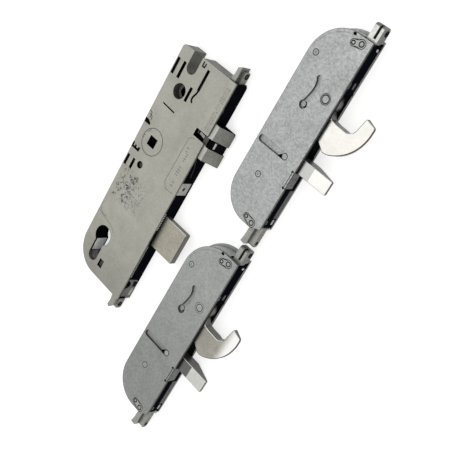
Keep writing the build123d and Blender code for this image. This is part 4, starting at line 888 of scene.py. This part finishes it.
def swept(tree, curve, radius, caps=False):
    inputs = {"Curve": curve, "Profile Curve": circle(tree, radius), "Fill Caps": caps}
    return addNode(tree, "GeometryNodeCurveToMesh", inputs)


def makeRibTree():
    # small rounded ribs, evenly spaced along each line
    tree, given = newTree("ribRow", {
        "Spacing": ("Float", 1.5 * mm), "Rib Size": ("Vector", (1 * mm, 0.5 * mm, 0.2 * mm)),
        "Size Change": ("Float", 0.2), "Seed": ("Int", 3),
    })
    lines = addNode(tree, "GeometryNodeMeshToCurve", {"Mesh": given["Geometry"]})
    steps = {"Curve": lines, "Length": given["Spacing"]}
    points = addNode(tree, "GeometryNodeCurveToPoints", steps, mode="LENGTH")
    rib = addNode(tree, "GeometryNodeMeshUVSphere", {"Segments": 12, "Rings": 6, "Radius": 0.5})
    least = minus(tree, 1, given["Size Change"])
    change = addNode(tree, "FunctionNodeRandomValue", {"Seed": given["Seed"], 2: least}, 1, data_type="FLOAT")
    size = addNode(tree, "ShaderNodeVectorMath", {0: given["Rib Size"], "Scale": change}, operation="SCALE")
    spots = {"Points": points, "Instance": rib, "Scale": size}
    return endTree(tree, given, addNode(tree, "GeometryNodeInstanceOnPoints", spots))


def makeLineTree():
    # a thin bead that follows each line
    tree, given = newTree("edgeLine", {"Width": ("Float", 0.4 * mm), "Corner": ("Float", 0.3 * mm)})
    lines = addNode(tree, "GeometryNodeMeshToCurve", {"Mesh": given["Geometry"]})
    corners = {"Curve": lines, "Count": 3, "Radius": given["Corner"], "Limit Radius": True}
    eased = addNode(tree, "GeometryNodeFilletCurve", corners, mode="POLY")
    return endTree(tree, given, swept(tree, eased, times(tree, given["Width"], 0.5), True))


def makeHeadTree():
    # a pin head at each point: a turned button with a raised rim and a hollow middle
    tree, given = newTree("pinHead", {
        "Radius": ("Float", 1 * mm), "Height": ("Float", 0.4 * mm), "Turn": ("Vector", (0, 0, 0)),
    })
    button = {"Vertices": 28, "Radius": given["Radius"], "Depth": given["Height"]}
    shank = addNode(tree, "GeometryNodeMeshCylinder", button)
    path = circle(tree, times(tree, given["Radius"], 0.82), 28)
    rim = swept(tree, path, times(tree, given["Radius"], 0.2))
    lift = addNode(tree, "ShaderNodeCombineXYZ", {2: times(tree, given["Height"], 0.5)})
    raised = addNode(tree, "GeometryNodeTransform", {"Geometry": rim, "Translation": lift})
    both = tree.nodes.new("GeometryNodeJoinGeometry")
    for part in (shank, raised):
        tree.links.new(part, both.inputs[0])
    points = addNode(tree, "GeometryNodeMeshToPoints", {"Mesh": given["Geometry"]})
    spots = {"Points": points, "Instance": both.outputs[0], "Rotation": given["Turn"]}
    return endTree(tree, given, addNode(tree, "GeometryNodeInstanceOnPoints", spots))


trees = {"ribs": makeRibTree(), "line": makeLineTree(), "heads": makeHeadTree()}
print("geometry trees built:", len(trees))


def placed(values, first, second, level, offset):
    # a spot of a drawing that lies on a level of Z, or on a level of X
    x, y, z = (level, first, second) if values["plane"] == "x" else (first, second, level)
    return [(x + offset[0]) * mm, (y + offset[1]) * mm, z * mm]


def linesMesh(name, values, offset):
    # one point alone stays a point
    mesh = bpy.data.meshes.new(name)
    points = []
    edges = []
    for line in values["lines"]:
        start = len(points)
        points += [placed(values, first, second, values["level"], offset) for first, second in line]
        edges += [(start + i, start + i + 1) for i in range(len(line) - 1)]
    mesh.from_pydata(points, edges, [])
    return mesh


lineTop = 15.43  # beads on the hook cases lie in the plates, not on them


def treePiece(name, treeName, values, inputs, prefix="", offset=(0, 0)):
    piece = linkObject(prefix + name, linesMesh(prefix + name, values, offset))
    modifier = piece.modifiers.new(treeName, "NODES")
    tree = trees[treeName]
    modifier.node_group = tree
    sockets = {item.name: item.identifier for item in tree.interface.items_tree if item.in_out == "INPUT"}
    modifier[sockets["Material"]] = finishes[values["finish"]]
    for label, value in inputs.items():
        modifier[sockets[label]] = value
    piece.data = evaluatedMesh(piece)
    piece.modifiers.clear()
    for vertex in piece.data.vertices:
        vertex.co.z = min(vertex.co.z, lineTop * mm)
    piece.data.materials.clear()
    paintFaces(piece, plain(values["finish"]))
    finishSurface(piece, 40)
    hand(piece, bodyOf(prefix, values["body"]), values["slot"])


def beadPiece(name, values, prefix="", offset=(0, 0)):
    inputs = {"Width": values["width"] * mm, "Corner": values["corner"] * mm}
    treePiece(name, "line", values, inputs, prefix, offset)


# A flat piece cut to an outline, between two levels of Z or of X
def cutPiece(name, values, offset=(0, 0)):
    low, high = values["levels"]
    shape = bmesh.new()
    corners = [shape.verts.new(placed(values, *spot, low, offset)) for spot in values["outline"]]
    moved = bmesh.ops.extrude_face_region(shape, geom=[shape.faces.new(corners)])
    push = Vector((0, 0, high - low)) if values["plane"] == "z" else Vector((high - low, 0, 0))
    grown = [item for item in moved["geom"] if isinstance(item, bmesh.types.BMVert)]
    bmesh.ops.translate(shape, verts=grown, vec=push * mm)
    bmesh.ops.recalc_face_normals(shape, faces=shape.faces)
    mesh = bpy.data.meshes.new(name)
    shape.to_mesh(mesh)
    shape.free()
    piece = linkObject(name, mesh)
    roundEdges(piece, values["edge"])
    paintFaces(piece, plain(values["finish"]))
    finishSurface(piece)
    hand(piece, values["body"], values["slot"])


def oblong(y, z, length, width, count=9):
    # round-ended outline lying along the first direction
    points = []
    half = (length - width) / 2
    for centre, start in ((y + half, -90), (y - half, 90)):
        for step in range(count):
            angle = math.radians(start + 180 * step / (count - 1))
            points.append((centre + width / 2 * math.cos(angle), z + width / 2 * math.sin(angle)))
    return points


def box2d(left, right, low, high):
    return [(left, low), (right, low), (right, high), (left, high)]


def arcPoints(x, y, radius, start=0, end=360, count=24):
    points = []
    for step in range(count + 1):
        angle = math.radians(start + (end - start) * step / count)
        points.append((x + radius * math.cos(angle), y + radius * math.sin(angle)))
    return points


def keyRim(small, large, radii=(2.4, 3.2)):
    # line round both rounds of an end key
    angle = math.degrees(math.atan2(large[1] - small[1], large[0] - small[0]))
    lean = math.degrees(math.asin((radii[1] - radii[0]) / math.dist(small, large)))
    first = arcPoints(*large, radii[1], angle - 90 - lean, angle + 90 + lean)
    second = arcPoints(*small, radii[0], angle + 90 + lean, angle + 270 - lean)
    return [*first, *second, first[0]]


# Marks and fittings of the gearbox case. The plaque and the printed zone stay without any lettering.
# A piece takes every value that it doesn't give from what its case's pieces have in common.
coverTop = 15.0
edgeFace = 43.4
mainCommon = {
    "plane": "z", "level": coverTop, "edge": 0.06, "corner": 0, "body": "lock_cases", "slot": "cast_zinc",
}
mainRibs = {
    "castRibs": {
        "lines": [
            [(38.3, 36.5), (38.3, 52)], [(38.3, 55), (38.3, 72.5)],
            [(40.6, 36.5), (40.6, 58)], [(40.6, 61), (40.6, 72.5)],
        ],
        "spacing": 1.6, "size": (2.3, 0.85, 0.4), "change": 0.5, "seed": 5, "finish": "castShade",
    },
    "plaquePads": {
        "lines": [
            [(35.2, 12), (35.2, 6)], [(35.2, 0.5), (35.2, -6.5)],
            [(33.2, 16.5), (33.2, 13.5)], [(36, -13), (36, -16)],
        ],
        "spacing": 1.9, "size": (3.6, 1, 0.36), "change": 0.3, "seed": 8, "finish": "castShade",
    },
    "edgeTeeth": {
        "plane": "x", "level": edgeFace, "lines": [[(-38.9, 13), (-53.6, 13)]],
        "spacing": 1.5, "size": (0.7, 0.8, 2.6), "change": 0.1, "seed": 2, "finish": "lightMetal",
    },
    "edgeSerration": {
        "plane": "x", "level": edgeFace, "lines": [[(-71, 12.5), (-101.5, 12.5)]],
        "spacing": 1.15, "size": (0.5, 0.85, 0.8), "change": 0.2, "seed": 4, "finish": "lightMetal",
    },
    # dark dents on the hub: painted shade
    "hubDents": {
        "lines": [[(-6.6, 7.2), (-8.4, 4.4)], [(-9.9, 0.6), (-9.9, -1.2)]],
        "spacing": 1.3, "size": (1.3, 0.9, 0.2), "change": 0.3, "seed": 6,
        "finish": "insideShade", "body": "follower", "slot": "zinc_fitting",
    },
}
for name, values in mainRibs.items():
    ribSize = tuple(side * mm for side in values["size"])
    ribInputs = {"Spacing": values["spacing"] * mm, "Rib Size": ribSize}
    ribInputs.update({"Size Change": values["change"], "Seed": values["seed"]})
    treePiece(name, "ribs", {**mainCommon, **values}, ribInputs)
print("rib rows made:", len(mainRibs))

# most of these beads are dark and stand for shaded rims, steps, grooves and gaps: painted shade
mainLines = {
    "plaqueRim": {
        "lines": [
            [(29.2, 23), (28.6, -17), (32.5, -21.4), (40.4, -20.9)],
            [(29.2, 23), (31.5, 25.2), (34.5, 25.6)],
        ],
        "width": 0.34, "corner": 1.5, "finish": "castZincShadedSide",
    },
    "cornerMark": {
        "lines": [[(8.5, 77.7), (8.5, 73.9), (10.9, 73.9), (10.9, 77.1)]],
        "width": 1, "corner": 0.1, "finish": "blackShade",
    },
    "hubRing": {
        "level": coverTop - 0.06, "lines": [arcPoints(0, 0, 10.95, count=72)],
        "width": 0.42, "finish": "blackShade",
    },
    "castingArc": {
        "lines": [arcPoints(-9, -70.5, 6.8, 155, 300, 18)], "width": 0.3, "finish": "castZincShadedSide",
    },
    "cylinderZone": {
        "lines": [[(-16.9, -76.5), (-7, -78.4), (2, -79.6), (9.5, -83.5)]],
        "width": 0.24, "corner": 2, "finish": "castZincShadedSide",
    },
    "rodHoleRings": {
        "plane": "x", "level": 41.9, "lines": [arcPoints(85.7, 5.4, 1.9), arcPoints(-131.7, 6, 1.9)],
        "width": 0.7, "finish": "blackShade", "body": "main_rail", "slot": "zinc_fitting",
    },
    "wallClaws": {
        "lines": [
            [(-16.6, 19.6), (-13.6, 19), (-13.2, 14.2)], [(-14.8, 17.2), (-11.6, 16.4), (-11.2, 13.2)],
        ],
        "width": 0.42, "corner": 0.8, "finish": "blackShade",
    },
    # light lines on the black strip, a sheen along it and a line along its back edge: painted highlights
    "stripSheen": {
        "plane": "x", "level": edgeFace, "lines": [
            [(12.6, 12.6), (8.4, 11), (5.7, 9.4), (-3.6, 7.8)], [(57.6, 12.6), (54.6, 12.4)],
        ],
        "width": 0.3, "corner": 1.5, "finish": "innerGrey", "slot": "black_steel",
    },
    "stripEdgeHighlight": {
        "plane": "x", "level": edgeFace, "width": 0.45,
        "lines": [[(75.5, 0.35), (46.5, 0.35)], [(13.8, 0.35), (-8, 0.35)]],
        "finish": "innerGrey", "slot": "black_steel",
    },
}
for name, values in mainLines.items():
    beadPiece(name, {**mainCommon, **values})
print("lines made:", len(mainLines))

mainCuts = {
    # black sheets in the case's wall openings, where there is only shade: painted shade
    "leftOpeningHigh": {
        "levels": (13.25, 14.9), "finish": "blackShade", "edge": 0.02,
        "outline": [(-16.98, 9.35), (-10.3, 9.35), (-10.3, 11), (-13.5, 12.8), (-16.98, 12.8)],
    },
    "leftOpeningLow": {
        "levels": (13.25, 14.9), "finish": "blackShade", "edge": 0.02,
        "outline": [
            (-16.98, -14.35), (-7.8, -14.35), (-7.8, -10.8), (-9.5, -10.8), (-9.5, -12.4), (-12.1, -12.4),
            (-12.1, -11), (-13.5, -11), (-13.5, -12.4), (-15.3, -12.4), (-15.3, -9.9), (-16.98, -9.9),
        ],
    },
    "latchBright": {
        "levels": (12.86, 13.06), "finish": "zincFitting", "body": "latch", "slot": "bright_steel",
        "outline": [(34.6, 31), (39.9, 30), (40.2, 32.3), (34.9, 32.9)],
    },
    "latchTab": {
        "levels": (12.86, 13.12), "finish": "innerGrey", "body": "latch", "slot": "zinc_fitting",
        "outline": box2d(40.6, 44.6, 26.6, 33),
    },
    "latchChip": {
        "levels": (12.86, 13), "finish": "innerGrey", "body": "latch", "slot": "zinc_fitting",
        "outline": box2d(32.4, 33.6, 30.6, 32.8),
    },
    "latchLeaf": {
        "plane": "x", "levels": (49.42, 50.18), "finish": "lightMetal", "body": "latch",
        "slot": "bright_steel", "outline": box2d(27.05, 32.15, 5, 9.75),
    },
    "footCheek": {
        "plane": "x", "levels": (43.2, 43.62), "finish": "footShade", "edge": 0.1,
        "outline": [
            (-104.2, 12.4), (-105.3, 2.8), (-107.4, 0.5), (-122.6, 0.5), (-124.2, 1.8), (-124.3, 6.2),
            (-121.7, 7.3), (-121.7, 12.9), (-113.9, 12.9), (-112.2, 9.4), (-110.2, 8), (-107.4, 9.2),
            (-105.6, 12.4),
        ],
    },
    # a dark patch standing for a shaded hole: painted shade
    "footWell": {
        "plane": "x", "levels": (43.42, 43.66), "finish": "insideShade", "slot": "black_steel",
        "outline": [(-105.8, 6.4), (-107.2, 1.4), (-112.6, 1.4), (-111.4, 5.6)],
    },
    "footOblong": {
        "plane": "x", "levels": (43.2, 43.72), "finish": "zincFitting", "edge": 0.2,
        "outline": oblong(-117.4, 3.7, 7.6, 2.8),
    },
    "cylinderSlider": {
        "plane": "x", "levels": (-4.98, -4.72), "finish": "sliderSteel", "edge": 0.03,
        "slot": "zinc_fitting",
        "outline": [(-98.9, 13.1), (-98.9, 2.2), (-110.3, 2.2), (-110.3, 9.4), (-105.4, 13.1)],
    },
    "cylinderGlint": {
        "plane": "x", "levels": (-4.98, -4.8), "finish": "lightMetal", "edge": 0.02,
        "slot": "bright_steel", "outline": [(-105.5, 13.1), (-110.3, 9.5), (-110.3, 13.1)],
    },
    "recessFloor": {
        "levels": (12.5, 13.1), "finish": "innerGrey", "outline": box2d(9, 13.8, -115.8, -109),
    },
    "legLiner": {
        "levels": (4.3, 10.9), "finish": "legGrey", "edge": 0.02,
        "outline": arcPoints(0, -111.5, 5.05, 180, 360) + arcPoints(0, -111.5, 5.7, 360, 180),
    },
}
for name, values in mainCuts.items():
    cutPiece(name, {**mainCommon, **values})
print("gearbox fittings made:", len(mainCuts))


# Details of the two hook cases, about each hook's pivot
stripFace = 9.2
hookCommon = {
    "plane": "x", "level": stripFace, "edge": 0.06, "corner": 0,
    "body": "lock_cases", "slot": "galvanised_plate",
}
hookCuts = {
    "channelOblong": {
        "levels": (9.05, 9.5), "outline": oblong(16.7, 7.6, 5, 2.5), "edge": 0.15,
        "finish": "innerGrey", "slot": "bright_steel",
    },
    "lowOblong": {
        "levels": (9.05, 9.5), "outline": oblong(-97.1, 5.2, 4.6, 2.2), "edge": 0.15,
        "finish": "keySteel", "slot": "bright_steel",
    },
    "channelTab": {
        "levels": (9.05, 9.32), "outline": box2d(14, 18.4, 12.2, 13.5), "edge": 0.1, "finish": "innerGrey",
    },
    "lowTab": {
        "levels": (9.05, 9.32), "outline": box2d(-99.2, -96, 11, 12.6), "edge": 0.1,
        "finish": "innerGrey",
    },
    "stripEnd": {
        "levels": (8.4, 9.2), "finish": "blackSteel", "slot": "black_steel", "edge": 0.15,
        "outline": [(45.9, 1.5), (49.3, 1.5), (49.3, 6), (48.4, 7.2), (45.9, 7.2)],
    },
    "gateFloor": {
        "plane": "z", "levels": (1.45, 1.62), "finish": "trayEdge", "outline": box2d(-1.2, 8.9, 45, 50.7),
    },
    "trayRim": {
        "plane": "z", "levels": (1.46, 1.6), "finish": "galvanised", "edge": 0.02,
        "outline": arcPoints(-3.4, 22.2, 28.5, 168, 90) + arcPoints(-3.4, 19.9, 28.6, 90, 166),
    },
    "lowChannel": {
        "levels": (9.1, 9.28), "outline": box2d(-94, -69.5, 1.9, 6.8),
        "finish": "innerGrey", "slot": "black_steel",
    },
    # a dark spot in the plate's corner nick: painted shade
    "cornerNick": {
        "plane": "z", "levels": (14.9, 15.43), "outline": oblong(-6.6, 46.9, 2.8, 2.2), "edge": 0.05,
        "finish": "blackShade",
    },
}
keySpots = {"high": ((-4.3, 41.5), (1.85, 43.4)), "low": ((-6.3, -102.6), (0.2, -104.2))}
# the dark beads stand for shaded rims and edges, the gaps round heads and holes, and the shadow along the
# plate's top edge: painted shade and shadow
hookLines = {
    "plateRim": {
        "plane": "z", "level": 15.2, "width": 0.42, "finish": "galvanisedShadedSide",
        "lines": [[
            (0.2, -107.5), (-7.7, -107.5), *reversed(arcPoints(-7.7, -83.2, 24.3, 180, 270)),
            *reversed(arcPoints(-3.4, 19.9, 28.6, 90, 180)), (9, 48.5),
        ]],
    },
    "plateFold": {
        "plane": "z", "level": 15.4, "width": 0.2, "finish": "galvanisedShadedSide",
        "lines": [[*reversed(arcPoints(-3.4, 18.4, 27.6, 92, 168)), (-6.6, 46.2)]],
    },
    "plateTopLine": {
        "plane": "z", "level": 15.3, "width": 0.5, "finish": "insideShade",
        "lines": [[(-5.6, 48.35), (9, 48.35)]],
    },
    "headHoleRing": {
        "level": 9.1, "lines": [arcPoints(56.5, 6.2, 1.95)],
        "width": 0.6, "finish": "blackShade", "body": "rail", "slot": "zinc_fitting",
    },
    "rivetRings": {
        "plane": "z", "level": 15.42, "width": 0.5,
        "lines": [arcPoints(-25.4, 21.9, 2.25), arcPoints(-15.65, -72.25, 2.25)],
        "finish": "insideShade", "slot": "bright_steel",
    },
    "keyRings": {
        "plane": "z", "level": 15.42, "width": 0.45, "finish": "insideShade", "slot": "bright_steel",
        "lines": [
            arcPoints(*spot, radius) for key in keySpots.values() for spot, radius in zip(key, (1.55, 1.9))
        ],
    },
    "keyRims": {
        "plane": "z", "level": 15.4, "width": 0.5, "finish": "insideShade",
        "lines": [keyRim(*key) for key in keySpots.values()],
    },
    "trayLineHigh": {
        "lines": [[(44, 2.5), (11.5, 2.5)], [(9.5, 2.5), (-40.5, 2.5)]], "width": 0.4, "finish": "keySteel",
    },
    "trayLineLow": {"lines": [[(46, 0.4), (-101, 0.4)]], "width": 0.4, "finish": "keySteel"},
    "plateHem": {
        "lines": [[(45.5, 13.55), (-53, 13.55)], [(-69.5, 13.55), (-103, 13.55)]],
        "width": 0.3, "finish": "innerGrey",
    },
}
pinHeadValues = {
    "level": 9.45, "lines": [[(44.4, 6.4)], [(-103.2, 4.6)]], "radius": 1.05, "height": 0.5,
    "finish": "brightSteel", "slot": "bright_steel",
}
pinHeadInputs = {"Radius": pinHeadValues["radius"] * mm, "Height": pinHeadValues["height"] * mm}
pinHeadInputs["Turn"] = (0.0, math.pi / 2, 0.0)
for prefix, pivot in outlineValues["hookCase"]["pivots"].items():
    for name, values in hookCuts.items():
        finish = otherFinishes.get(prefix, {}).get(values["finish"], values["finish"])
        cutPiece(prefix + name, {**hookCommon, **values, "finish": finish}, pivot)
    for name, values in hookLines.items():
        beadPiece(name, {**hookCommon, **values}, prefix, pivot)
    treePiece("pinHeads", "heads", {**hookCommon, **pinHeadValues}, pinHeadInputs, prefix, pivot)
print("hook case details made")


# Floor and light
studioValues = {
    "floorSize": 60.0, "floorColour": (0.62, 0.62, 0.615), "floorLift": 0.62,
    "worldColour": (1.0, 1.0, 0.99), "worldStrength": 0.74,
    "lamps": [
        {"name": "keyPanel", "place": (-0.10, 0.0, 0.62), "size": 0.32, "power": 0.34},
        {"name": "sideFill", "place": (0.75, -0.45, 0.7), "size": 0.7, "power": 1.6},
    ],
    "aim": (0.06, 0.0, 0.0),
}


def makeFloor(values):
    mesh = bpy.data.meshes.new("floor")
    half = values["floorSize"] / 2
    corners = [(-half, -half, 0), (half, -half, 0), (half, half, 0), (-half, half, 0)]
    mesh.from_pydata(corners, [], [(0, 1, 2, 3)])
    floor = linkObject("floor", mesh)
    material = bpy.data.materials.new("floor")
    material.use_nodes = True
    tree = material.node_tree
    shader = tree.nodes["Principled BSDF"]
    shader.inputs["Base Color"].default_value = (*values["floorColour"], 1)
    shader.inputs["Roughness"].default_value = 0.8
    strength = times(tree, backgroundRays(tree), values["floorLift"])
    lift = addNode(tree, "ShaderNodeEmission", {"Color": (1, 1, 1, 1), "Strength": strength})
    both = addNode(tree, "ShaderNodeAddShader", {0: shader.outputs[0], 1: lift})
    tree.links.new(both, tree.nodes["Material Output"].inputs["Surface"])
    floor.data.materials.append(material)


def makeLight(values):
    world = bpy.data.worlds.new("studio")
    bpy.context.scene.world = world
    world.use_nodes = True
    tree = world.node_tree
    background = tree.nodes["Background"]
    background.inputs["Color"].default_value = (*values["worldColour"], 1)
    strength = values["worldStrength"]
    lift = times(tree, backgroundRays(tree), 1 - strength)
    tree.links.new(plus(tree, lift, strength), background.inputs["Strength"])
    for lampValues in values["lamps"]:
        lamp = bpy.data.lights.new(lampValues["name"], "AREA")
        lamp.energy = lampValues["power"]
        lamp.size = lampValues["size"]
        lampObject = linkObject(lampValues["name"], lamp)
        lampObject.location = lampValues["place"]
        toAim = Vector(values["aim"]) - Vector(lampValues["place"])
        lampObject.rotation_euler = toAim.to_track_quat("-Z", "Y").to_euler()


makeFloor(studioValues)
makeLight(studioValues)
bpy.context.scene.view_settings.view_transform = "Standard"
print("floor and light set")
